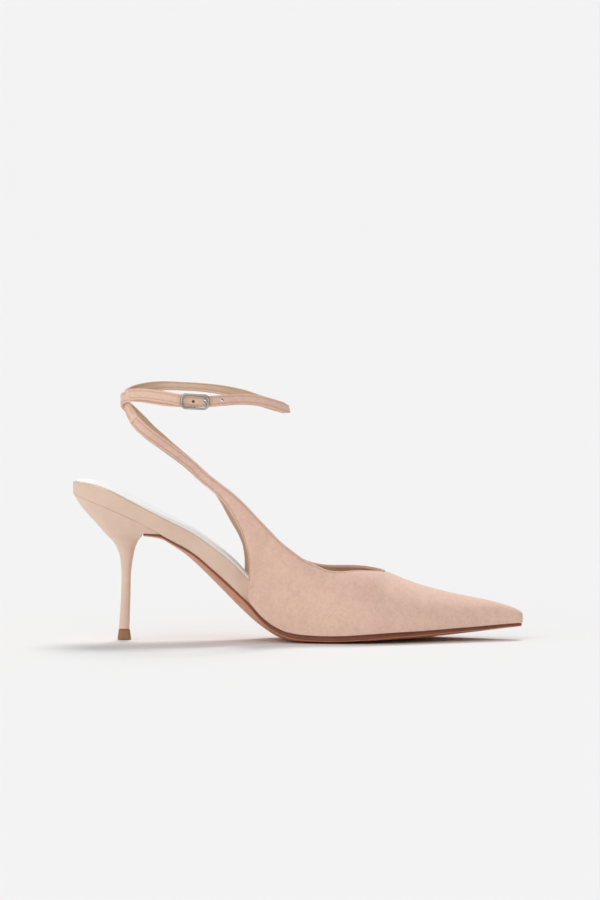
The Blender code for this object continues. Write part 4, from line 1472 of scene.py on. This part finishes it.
@dataclass
class UpperShell:
    """Suede vamp with its two wings and rising straps, lined in tan leather."""

    last: LastShape
    palette: Palette
    wall: float = 1.4
    flare: float = 1.6
    flare_fade: float = 30.0
    throat_x: float = 145.0
    throat_y: float = 2.0
    blend_reach: float = 5.0
    blend_rounds: int = 14
    corner_x: float = 69.5
    feather_reach: float = 6.0
    toe_weight: float = 0.75
    toe_blend: float = 16.0
    toe_crowding: float = 1.7
    strap_crown: float = 0.1
    rear_seam_start: float = 0.46
    edge_round: float = 0.4
    edge_angle: float = 55.0
    wing_blend: float = 0.3
    strap_width: float = 6.2
    strap_thick: float = 1.5
    across: int = 52
    vamp_stations: int = 64
    wing_stations: int = 260
    seam_inset: float = 1.3
    seam_width: float = 0.35
    seam_depth: float = 0.12
    rows: dict[Side, list[list[Vector]]] = field(default_factory=dict)

    def __post_init__(self) -> None:
        """Lay out both sides' outer surface."""
        self.ridge = columns(RIDGE)[0]
        self.shares = crowded(0.0, 1.0, self.across, 0.85)
        self.weight = {Side.OUTER: 0.66, Side.INNER: 0.84}
        self.wings = {Side.OUTER: (OUTER_WING, OUTER_RISE), Side.INNER: (INNER_WING, INNER_RISE)}
        for side in Side:
            self.rows[side] = [*self.vamp_rows(side), *self.wing_rows(side)]

    def vamp_rows(self, side: Side) -> list[list[Vector]]:
        """Return the sections of one side of the vamp from the toe to the throat.

        Args:
            side: Side of the shoe.

        Returns:
            One row of points for each section.
        """
        rows = []
        depth = self.last.toe_x - self.throat_x
        for index in range(self.vamp_stations + 1):
            x = self.last.toe_x - depth * (index / self.vamp_stations) ** self.toe_crowding
            low = self.last.feather(x, side)
            height = self.ridge(x)
            blend = smooth_step(self.throat_x, self.last.toe_x, x)
            drift = (self.last.centre(self.last.toe_x) - self.throat_y) * blend
            top = Vector((x, self.throat_y + drift, height))
            flare = self.flare * round_end(self.last.toe_x - x, self.flare_fade)
            full = Vector((x, low.y + side.value * flare, height))
            blend = smooth_step(0.0, self.toe_blend, self.last.toe_x - x)
            weight = self.toe_weight + (self.weight[side] - self.toe_weight) * blend
            rows.append([conic(low, full, top, weight, share) for share in self.shares])
        return rows

    def wing_path(self, side: Side) -> Path:
        """Return the path of a wing and its rising strap, section by section.

        Args:
            side: Side of the shoe.

        Returns:
            A path of low, full and top points.
        """
        table, rise = self.wings[side]
        rows = []
        for row in table:
            low = Vector(row[:3])
            if math.isnan(row.low_y):
                low = self.last.feather(row.low_x, side)
            full = ((row.low_x + row.top_x) / 2, row.full_y, row.full_z)
            rows.append((*low, *full, row.top_x, row.top_y, row.top_z))
        line = StrapLine(rise)
        for knot in line.path.knots:
            frame = line.frame(knot / line.length)
            half = frame.up * self.strap_width / 2
            skin = frame.point + frame.outward * self.strap_thick / 2
            rows.append((*(skin - half), *(skin + frame.outward * self.strap_crown), *(skin + half)))
        return Path(rows, (0, 1, 2, 6, 7, 8))

    def wing_rows(self, side: Side) -> list[list[Vector]]:
        """Return the sections across a wing and its rising strap from the throat to its end.

        Args:
            side: Side of the shoe.

        Returns:
            One row of points for each section.
        """
        path = self.wing_path(side)
        rows = []
        for index in range(1, self.wing_stations + 1):
            share = index / self.wing_stations
            values = path.at(share)
            low, full, top = Vector(values[0:3]), Vector(values[3:6]), Vector(values[6:9])
            if low.x > self.corner_x and low.z < self.last.edge_z(low.x) + self.feather_reach:
                low = self.last.feather(low.x, side)
            blend = smooth_step(0.0, self.wing_blend, share)
            weight = self.weight[side] + (1.0 - self.weight[side]) * blend
            rows.append([conic(low, full, top, weight, share) for share in self.shares])
        return rows

    def build(self) -> None:
        """Make the shell: outer surface, folds, wall and rounded edges."""
        draft = MeshDraft("suede_upper")
        for side in Side:
            draft.add_grid(self.rows[side], flip=side is Side.INNER)
        palette = self.palette
        item = draft.build([palette.suede, palette.lining, palette.cut_edge], turn_out=False)
        self.blend_throat(item)
        self.crease(item)
        press_seams(item, self.seams(), self.seam_width, self.seam_depth)
        wall = item.modifiers.new("wall", "SOLIDIFY")
        wall.thickness = self.wall * MM
        wall.offset = -1.0
        wall.use_even_offset = True
        wall.material_offset = 1
        wall.material_offset_rim = 2
        edges = item.modifiers.new("edges", "BEVEL")
        edges.width = self.edge_round * MM
        edges.segments = 3
        edges.limit_method = "ANGLE"
        edges.angle_limit = math.radians(self.edge_angle)
        hand_over(settle(item), Slot.SUEDE, "upper")

    def blend_throat(self, item: bpy.types.Object) -> None:
        """Even out the open surface where the wings leave the vamp.

        Args:
            item: The upper's object.
        """
        mesh = item.data
        sheet = bmesh.new()
        sheet.from_mesh(mesh)
        inner = [vertex for vertex in sheet.verts if not vertex.is_boundary]
        near = [v for v in inner if abs(v.co.x / MM - self.throat_x) < self.blend_reach]
        axes = {"use_axis_x": True, "use_axis_y": True, "use_axis_z": True}
        for _ in range(self.blend_rounds):
            bmesh.ops.smooth_vert(sheet, verts=near, factor=0.5, **axes)
        sheet.to_mesh(mesh)
        sheet.free()

    @staticmethod
    def crease(item: bpy.types.Object) -> None:
        """Press the folds into an open surface along its normals.

        Args:
            item: The upper's object.
        """
        mesh = item.data
        normals = [vertex.normal.copy() for vertex in mesh.vertices]
        for vertex, normal in zip(mesh.vertices, normals):
            place = vertex.co / MM
            lift = 0.0
            for fold in FOLDS:
                start, end = Vector(fold.start), Vector(fold.end)
                span = end - start
                share = min(max((place - start).dot(span) / span.length_squared, 0.0), 1.0)
                distance = (place - start - span * share).length
                fade = math.sqrt(math.sin(math.pi * min(max(share, FOLD_END), 1.0 - FOLD_END)))
                lift += fold.height * fade * math.exp(-((distance / fold.width) ** 2))
            vertex.co += normal * lift * MM

    def seams(self) -> list[Line]:
        """Return the stitch lines along the toplines and the wings' rear edges."""
        lines = []
        for side in Side:
            lines.append(self.edge_line(side, Edge.TOP, 0.0))
            lines.append(self.edge_line(side, Edge.LOW, self.rear_seam_start))
        return lines

    def edge_line(self, side: Side, edge: Edge, start: float) -> Line:
        """Return points of the seam on the outer skin, each with its normal.

        Args:
            side: Side of the shoe.
            edge: Edge of the sections that is followed.
            start: Share of the wing's sections where the line starts.

        Returns:
            Points at the seam's distance inside the edge.
        """
        rows = [row[:: edge.value] for row in self.rows[side][self.vamp_stations :]]
        line = []
        for index in range(max(int(start * (len(rows) - 1)), 1), len(rows) - 1):
            near, row, far = rows[index - 1 : index + 2]
            travelled, step = 0.0, 0
            span = (row[1] - row[0]).length
            while step < len(row) - 2 and travelled + span < self.seam_inset:
                travelled += span
                step += 1
                span = (row[step + 1] - row[step]).length
            share = (self.seam_inset - travelled) / max(span, TINY)
            point = row[step].lerp(row[step + 1], share)
            normal = (far[step] - near[step]).cross(row[step + 1] - row[step]).normalized()
            if normal.y * side.value < 0:
                normal = -normal
            line.append((point, normal))
        return line


@dataclass
class StrapPair:
    """Ankle strap with its holes, and the short strap that carries the buckle."""

    palette: Palette
    width: float = 6.2
    thick: float = 1.5
    corner: float = 0.42
    corner_share: float = 0.6
    corner_steps: int = 4
    crown: float = 0.1
    across: int = 24
    tip_round: float = 3.2
    bend_x: float = 91.2
    bend_taper: float = 0.36
    seam_inset: float = 1.2
    seam_width: float = 0.32
    seam_depth: float = 0.1
    seam_start: float = 0.012
    seam_end: float = 0.985
    bend_reach: float = 3.2
    tip_crowding: float = 1.15
    tip_blunt: float = 0.02
    seam_step: float = 0.5
    punch_length: float = 6.0
    hole_sides: int = 32
    hole_xs: tuple[float, ...] = (45.2, 38.6, 54.3)
    hole_radius: float = 0.85
    blind_x: float = 38.6
    blind_lift: float = 2.95
    long_stations: int = 420
    short_stations: int = 120

    def __post_init__(self) -> None:
        """Lay out both middle lines."""
        self.long_line = StrapLine(ANKLE_STRAP)
        self.short_line = StrapLine(BUCKLE_STRAP)

    def outline(self, tip: float) -> list[tuple[float, float]]:
        """Return the section's points as (up, outward), rounded at its corners.

        Args:
            tip: Share of the full width, for the round end.
        """
        half, skin = self.width / 2 * tip, self.thick / 2
        corner = min(self.corner, half * self.corner_share)
        flat = half - corner
        heights = [flat * (1 - 2 * step / self.across) for step in range(self.across + 1)]
        turns = [math.pi / 2 * step / self.corner_steps for step in range(1, self.corner_steps)]
        arc = [(flat + corner * math.sin(turn), skin - corner + corner * math.cos(turn)) for turn in turns]
        outer = [(up, skin + self.crown * (1.0 - (up / flat) ** 2)) for up in heights]
        lower = [(-up, out) for up, out in arc] + [(-half, skin - corner), (-half, corner - skin)]
        lower += [(-up, -out) for up, out in reversed(arc)]
        inner = [(-up, -skin) for up in heights]
        upper = [(up, -out) for up, out in arc] + [(half, corner - skin), (half, skin - corner)]
        upper += [(up, out) for up, out in reversed(arc)]
        return outer + lower + inner + upper

    def rings(self, line: StrapLine, count: int, round_tip: bool) -> list[list[Vector]]:
        """Return the rings of a strap along its line.

        Args:
            line: Middle line of the strap.
            count: Number of spans between rings.
            round_tip: Whether its end is round.

        Returns:
            The rings.
        """
        rings = []
        for index in range(count + 1):
            share = index / count
            if round_tip:
                share = 1.0 - (1.0 - share) ** self.tip_crowding
                share = min(share, 1.0 - self.tip_blunt / line.length)
            frame = line.frame(share)
            tip = round_end((1.0 - share) * line.length, self.tip_round) if round_tip else 1.0
            if round_tip:
                nearness = smooth_step(self.bend_reach, 0.0, abs(self.bend_x - frame.point.x))
                tip *= 1.0 - self.bend_taper * nearness
            section = self.outline(tip)
            rings.append([frame.point + frame.up * up + frame.outward * out for up, out in section])
        return rings

    def slot_of(self, step: int) -> int:
        """Return the material slot of a face by its step around the section.

        Args:
            step: Number of the face around the section.

        Returns:
            The slot: suede, lining or cut edge.
        """
        edge = 2 * self.corner_steps
        on_lining = self.across + edge <= step < 2 * self.across + edge + 1
        on_edge = step in (self.across + edge // 2, 2 * self.across + 3 * edge // 2 + 1)
        return 1 if on_lining else 2 if on_edge else 0

    def make(self, name: str, line: StrapLine, count: int, round_tip: bool) -> bpy.types.Object:
        """Return one strap.

        Args:
            name: Name of the object.
            line: Middle line of the strap.
            count: Number of spans between rings.
            round_tip: Whether its end is round.

        Returns:
            The strap with its seams pressed in.
        """
        draft = MeshDraft(name)
        draft.add_loft(self.rings(line, count, round_tip), self.slot_of)
        palette = self.palette
        item = draft.build([palette.suede, palette.lining, palette.cut_edge, palette.hole])
        press_seams(item, self.seams(line), self.seam_width, self.seam_depth)
        return item

    def punch(self, strap: bpy.types.Object) -> None:
        """Cut the holes through the ankle strap.

        Args:
            strap: The ankle strap's object.
        """
        for number, hole_x in enumerate(self.hole_xs):
            frame = self.long_line.frame(self.long_line.share_at(hole_x))
            mesh = bpy.data.meshes.new(f"punch_{number}")
            shape = bmesh.new()
            radius = self.hole_radius * MM
            sizes = {"radius1": radius, "radius2": radius, "depth": self.punch_length * MM}
            bmesh.ops.create_cone(shape, cap_ends=True, segments=self.hole_sides, **sizes)
            turn = frame.outward.to_track_quat("Z", "Y").to_matrix().to_4x4()
            lift = self.blind_lift if hole_x == self.blind_x else 0.0
            shape.transform(Matrix.Translation((frame.point + frame.outward * lift) * MM) @ turn)
            shape.to_mesh(mesh)
            shape.free()
            # The hole walls take the painted shade material.
            mesh.materials.append(self.palette.hole)
            cutter = add_object(f"punch_{number}", mesh)
            cut = strap.modifiers.new("hole", "BOOLEAN")
            cut.solver = "EXACT"
            cut.object = cutter
            cut.material_mode = "TRANSFER"
            settle(strap)
            bpy.data.objects.remove(cutter)

    def build(self) -> None:
        """Make both straps."""
        strap = self.make("ankle_strap_suede", self.long_line, self.long_stations, True)
        self.punch(strap)
        hand_over(strap, Slot.SUEDE, "ankle_strap")
        short = self.make("buckle_strap_suede", self.short_line, self.short_stations, False)
        hand_over(short, Slot.SUEDE, "buckle_strap")

    def seams(self, line: StrapLine) -> list[Line]:
        """Return the stitch lines along both edges of a strap, on its suede and its lining.

        Args:
            line: Middle line of the strap.

        Returns:
            Four lines of points with normals.
        """
        return [
            self.edge_line(line, inset, inside)
            for inset in (self.seam_inset, -self.seam_inset)
            for inside in (False, True)
        ]

    def edge_line(self, line: StrapLine, inset: float, inside: bool) -> Line:
        """Return points on a strap's face at a distance inside an edge, each with its normal.

        Args:
            line: Middle line of the strap.
            inset: Distance inside the top edge, or the lower edge where it is negative.
            inside: Whether the points lie on the lining.

        Returns:
            Points from the seam's start to its end.
        """
        start, end = self.seam_start, self.seam_end
        count = int(line.length * (end - start) / self.seam_step)
        facing = -1.0 if inside else 1.0
        points = []
        for index in range(count + 1):
            frame = line.frame(start + (end - start) * index / count)
            height = math.copysign(self.width / 2 - abs(inset), inset)
            normal = frame.outward * facing
            points.append((frame.point + frame.up * height + normal * self.thick / 2, normal))
        return points


@dataclass
class BucklePart:
    """Polished frame with its sunk bar, and the prong."""

    straps: StrapPair
    palette: Palette
    x: float = 39.4
    length: float = 16.2
    height: float = 8.9
    wire: float = 0.65
    corner: float = 2.6
    gap: float = 0.3
    prong_radius: float = 0.45
    bar_share: float = 0.85
    around: int = 20
    corner_steps: int = 10
    squareness: float = 0.8
    bend_reach: float = 0.5
    bend_weight: float = 0.8
    bend_steps: int = 6
    prong_rise: float = 0.9
    prong_lead: float = 1.1
    prong_sink: float = 0.1
    prong_over: float = 1.0
    steep: float = 0.1

    def __post_init__(self) -> None:
        """Place the buckle's axes: forwards along the strap, up and outward."""
        line = self.straps.long_line
        frame = line.frame(line.share_at(self.x))
        turn = Matrix((-frame.along, frame.up, frame.outward)).transposed().to_4x4()
        self.place = Matrix.Translation(frame.point) @ turn
        self.wire_out = self.straps.thick / 2 + self.gap + self.wire
        self.bar_in = -self.wire_out

    def sweep(
        self,
        draft: MeshDraft,
        points: Sequence[Vector],
        radius: float,
        closed: bool,
        squareness: float = 1.0,
    ) -> None:
        """Add a wire along points given in the buckle's axes.

        Args:
            draft: Mesh that takes the wire.
            points: Points of its middle line.
            radius: Half its thickness.
            closed: Whether it closes on itself.
            squareness: Power of its section, 1 for round and below 1 for a flatter face.
        """
        rings = []
        count = len(points)
        for index, point in enumerate(points):
            before = points[index - 1] if index or closed else point
            after = points[(index + 1) % count] if index < count - 1 or closed else point
            tangent = (after - before).normalized()
            side = tangent.cross(Vector((0, 0, 1)))
            if side.length < self.steep:
                side = Vector((0, 1, 0)).cross(tangent)
            side.normalize()
            rise = side.cross(tangent).normalized()
            ring = []
            for step in range(self.around):
                angle = math.tau * step / self.around
                out, over = math.cos(angle), math.sin(angle)
                out = math.copysign(abs(out) ** squareness, out)
                over = math.copysign(abs(over) ** squareness, over)
                ring.append(self.place @ (point + side * out * radius + rise * over * radius))
            rings.append(ring)
        draft.add_loft(rings, closed=closed)

    def outline(self) -> list[Vector]:
        """Return the round-cornered middle line of the frame."""
        reach = self.length / 2 - self.wire - self.corner
        rise = self.height / 2 - self.wire - self.corner
        points = []
        for quarter, (across, up) in enumerate(((1, 1), (-1, 1), (-1, -1), (1, -1))):
            for step in range(self.corner_steps + 1):
                angle = math.pi / 2 * (quarter + step / self.corner_steps)
                x = across * reach + self.corner * math.cos(angle)
                points.append(Vector((x, up * rise + self.corner * math.sin(angle), self.wire_out)))
        return points

    def build(self) -> None:
        """Make the frame with its bar, and the prong."""
        frame = MeshDraft("nickel_frame")
        self.sweep(frame, self.outline(), self.wire, True, self.squareness)
        rail = self.height / 2 - self.wire
        corners = [Vector((0, rail, self.wire_out)), Vector((0, rail, self.bar_in))]
        corners += [Vector((0, -rail, self.bar_in)), Vector((0, -rail, self.wire_out))]
        self.sweep(frame, self.softened(corners), self.wire * self.bar_share, False)
        hand_over(frame.build([self.palette.nickel]), Slot.NICKEL, "buckle_frame")
        prong = MeshDraft("nickel_prong")
        hole = self.straps.hole_xs[0] - self.x
        rest = self.length / 2 - self.wire
        out = self.wire_out + self.wire + self.gap + self.prong_radius
        sunk = self.bar_in - self.prong_sink
        places = (
            (self.wire + self.gap + self.prong_radius, sunk),
            (hole - self.prong_lead, sunk),
            (hole, self.bar_in + self.prong_rise),
            (hole, out - self.prong_rise),
            (hole + self.prong_over, out),
            (rest + self.prong_over, out),
        )
        points = [Vector((forwards, 0, height)) for forwards, height in places]
        self.sweep(prong, self.softened(points), self.prong_radius, False)
        hand_over(prong.build([self.palette.nickel]), Slot.NICKEL, "buckle_prong")

    def softened(self, points: Sequence[Vector]) -> list[Vector]:
        """Return a line whose inner corners are rounded.

        Args:
            points: Corners and ends of the line.

        Returns:
            The rounded line.
        """
        line = [points[0]]
        shares = [step / self.bend_steps for step in range(self.bend_steps + 1)]
        for before, corner, after in zip(points, points[1:], points[2:]):
            start = corner + (before - corner).normalized() * self.bend_reach
            end = corner + (after - corner).normalized() * self.bend_reach
            line += [conic(start, corner, end, self.bend_weight, share) for share in shares]
        return [*line, points[-1]]


class StitchTree(NodeBuilder):
    """Geometry Nodes tree that lays stitches along a line of points that carry a normal."""

    smallest = 0.88
    largest = 1.08
    bead_segments = 8
    bead_rings = 5

    def __init__(self) -> None:
        """Build the tree with its named inputs."""
        self.tree = bpy.data.node_groups.new("stitch_row", "GeometryNodeTree")
        face = self.tree.interface
        face.new_socket("Geometry", in_out="INPUT", socket_type="NodeSocketGeometry")
        for name in ("Spacing", "Length", "Radius"):
            face.new_socket(name, in_out="INPUT", socket_type="NodeSocketFloat")
        face.new_socket("Seed", in_out="INPUT", socket_type="NodeSocketInt")
        face.new_socket("Thread", in_out="INPUT", socket_type="NodeSocketMaterial")
        face.new_socket("Geometry", in_out="OUTPUT", socket_type="NodeSocketGeometry")
        self.wire_up()

    def wire_up(self) -> None:
        """Add and link every node."""
        given = self.add("NodeGroupInput").outputs
        curve = self.add("GeometryNodeMeshToCurve", None, {"Mesh": given["Geometry"]})
        cut = {"Curve": curve.outputs[0], "Length": given["Spacing"]}
        spaced = self.add("GeometryNodeResampleCurve", {"mode": "LENGTH"}, cut)
        vector = {"data_type": "FLOAT_VECTOR"}
        outward = self.add("GeometryNodeInputNamedAttribute", vector, {"Name": "outward"})
        tangent = self.add("GeometryNodeInputTangent")
        turn = self.add(
            "FunctionNodeAxesToRotation",
            {"primary_axis": "Z", "secondary_axis": "X"},
            {"Primary Axis": outward.outputs["Attribute"], "Secondary Axis": tangent.outputs[0]},
        )
        ball = {"Segments": self.bead_segments, "Rings": self.bead_rings, "Radius": 1.0}
        bead = self.add("GeometryNodeMeshUVSphere", None, ball)
        sides = {"X": given["Length"], "Y": given["Radius"], "Z": given["Radius"]}
        size = self.add("ShaderNodeCombineXYZ", None, sides)
        grown = {"Geometry": bead.outputs[0], "Scale": size.outputs[0]}
        stitch = self.add("GeometryNodeTransform", None, grown)
        spread = {2: self.smallest, 3: self.largest, "Seed": given["Seed"]}
        jitter = self.add("FunctionNodeRandomValue", {"data_type": "FLOAT"}, spread)
        laid = self.add(
            "GeometryNodeInstanceOnPoints",
            None,
            {
                "Points": spaced.outputs[0],
                "Instance": stitch.outputs[0],
                "Rotation": turn.outputs[0],
                "Scale": jitter.outputs[1],
            },
        )
        smooth = self.add("GeometryNodeSetShadeSmooth", None, {"Geometry": laid.outputs[0]})
        real = self.add("GeometryNodeRealizeInstances", None, {"Geometry": smooth.outputs[0]})
        sewn = {"Geometry": real.outputs[0], "Material": given["Thread"]}
        dressed = self.add("GeometryNodeSetMaterial", None, sewn)
        self.add("NodeGroupOutput", None, {"Geometry": dressed.outputs[0]})

    def identifier(self, name: str) -> str:
        """Return the identifier of a named input."""
        sockets = self.tree.interface.items_tree
        return next(s.identifier for s in sockets if s.name == name and s.in_out == "INPUT")


@dataclass
class StitchWork:
    """Rows of stitches on the upper and the straps."""

    upper: UpperShell
    straps: StrapPair
    palette: Palette
    spacing: float = 1.7
    length: float = 1.1
    radius: float = 0.2
    rise: float = 0.02
    upper_seed: int = 3
    strap_seed: int = 5

    def lay(self, name: str, lines: Sequence[Line], tree: StitchTree, seed: int) -> None:
        """Make one piece of stitches along several lines.

        Args:
            name: Name of the piece.
            lines: Lines of points with normals.
            tree: Tree that lays the stitches.
            seed: Seed of their sizes.
        """
        mesh = bpy.data.meshes.new(name)
        points, edges, normals = [], [], []
        for line in lines:
            for index, (point, normal) in enumerate(line):
                if index:
                    edges.append((len(points) - 1, len(points)))
                points.append(tuple((point + normal * self.rise) * MM))
                normals.extend(normal)
        mesh.from_pydata(points, edges, [])
        mesh.attributes.new("outward", "FLOAT_VECTOR", "POINT").data.foreach_set("vector", normals)
        item = add_object(name, mesh)
        sewing = item.modifiers.new("sewing", "NODES")
        sewing.node_group = tree.tree
        values = {
            "Spacing": self.spacing * MM,
            "Length": self.length / 2 * MM,
            "Radius": self.radius * MM,
            "Seed": seed,
            "Thread": self.palette.thread,
        }
        for key, value in values.items():
            sewing[tree.identifier(key)] = value
        item.data.materials.append(self.palette.thread)
        hand_over(settle(item), Slot.SUEDE)

    def build(self) -> None:
        """Sew every row."""
        tree = StitchTree()
        upper, straps = self.upper, self.straps
        self.lay("upper_stitches", upper.seams(), tree, self.upper_seed)
        strap_lines = [*straps.seams(straps.long_line), *straps.seams(straps.short_line)]
        self.lay("strap_stitches", strap_lines, tree, self.strap_seed)


@dataclass
class Studio:
    """Camera at the photograph's angle, soft light and a pale floor."""

    elevation: float = 3.5
    centre_x: float = 97.67
    centre_v: float = 105.3
    view_height: float = 500.0
    distance: float = 7.0
    sensor: float = 36.0
    floor_tone: tuple[float, float, float] = (0.86, 0.86, 0.86)
    floor_reach: float = 60.0
    floor_z: float = -0.0001
    room: float = 0.43
    overhead: float = 1.72
    overhead_from: tuple[float, float, float] = (0.1, 0.75, 1.0)
    overhead_breadth: float = 22.0
    fill: float = 1.15
    fill_from: tuple[float, float, float] = (-0.75, -0.85, 0.6)
    fill_breadth: float = 90.0

    def camera(self) -> None:
        """Add the camera."""
        data = bpy.data.cameras.new("camera")
        data.sensor_width = self.sensor
        data.lens = self.sensor * self.distance / (self.view_height * MM)
        data.clip_start, data.clip_end = 0.1, 200.0
        item = add_object("camera", data)
        tilt = math.radians(self.elevation)
        target = Vector((self.centre_x, 0.0, self.centre_v / math.cos(tilt))) * MM
        back = Vector((0.0, -math.cos(tilt), math.sin(tilt)))
        item.location = target + back * self.distance
        item.rotation_euler = (-back).to_track_quat("-Z", "Y").to_euler()
        bpy.context.scene.camera = item

    def light(self, name: str, source: Sequence[float], strength: float, breadth: float) -> None:
        """Add a far, broad light.

        Args:
            name: Name of the light.
            source: Direction that it comes from.
            strength: Its strength.
            breadth: Angle that it spans, in degrees.
        """
        data = bpy.data.lights.new(name, "SUN")
        data.energy = strength
        data.angle = math.radians(breadth)
        item = add_object(name, data)
        item.location = Vector(source)
        item.rotation_euler = Vector(source).to_track_quat("Z", "Y").to_euler()

    def build(self) -> None:
        """Make floor, world, lights and camera."""
        scene = bpy.context.scene
        scene.view_settings.view_transform = "Standard"
        world = bpy.data.worlds.new("soft_room")
        world.use_nodes = True
        sky = world.node_tree.nodes["Background"].inputs
        sky["Color"].default_value = (1.0, 1.0, 1.0, 1.0)
        sky["Strength"].default_value = self.room
        scene.world = world
        mesh = bpy.data.meshes.new("floor")
        signs = ((-1, -1), (1, -1), (1, 1), (-1, 1))
        corners = [(x * self.floor_reach, y * self.floor_reach, self.floor_z) for x, y in signs]
        mesh.from_pydata(corners, [], [(0, 1, 2, 3)])
        graph = Graph("pale_floor")
        tone = graph.dress(Base_Color=self.floor_tone, Roughness=0.9, Specular_IOR_Level=0.1)
        mesh.materials.append(tone)
        add_object("floor", mesh)
        self.light("overhead", self.overhead_from, self.overhead, self.overhead_breadth)
        self.light("front_fill", self.fill_from, self.fill, self.fill_breadth)
        self.camera()


def main() -> None:
    """Load the frame, dress every piece and set the studio."""
    logging.basicConfig(level=logging.INFO, format="%(name)s %(message)s")
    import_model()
    palette = Palette()
    last = LastShape()
    bottom = Bottom(last, palette)
    bottom.build()
    HeelPart(last, bottom, palette).build()
    upper = UpperShell(last, palette)
    upper.build()
    straps = StrapPair(palette)
    straps.build()
    BucklePart(straps, palette).build()
    StitchWork(upper, straps, palette).build()
    Studio().build()


if __name__ == "__main__":
    main()
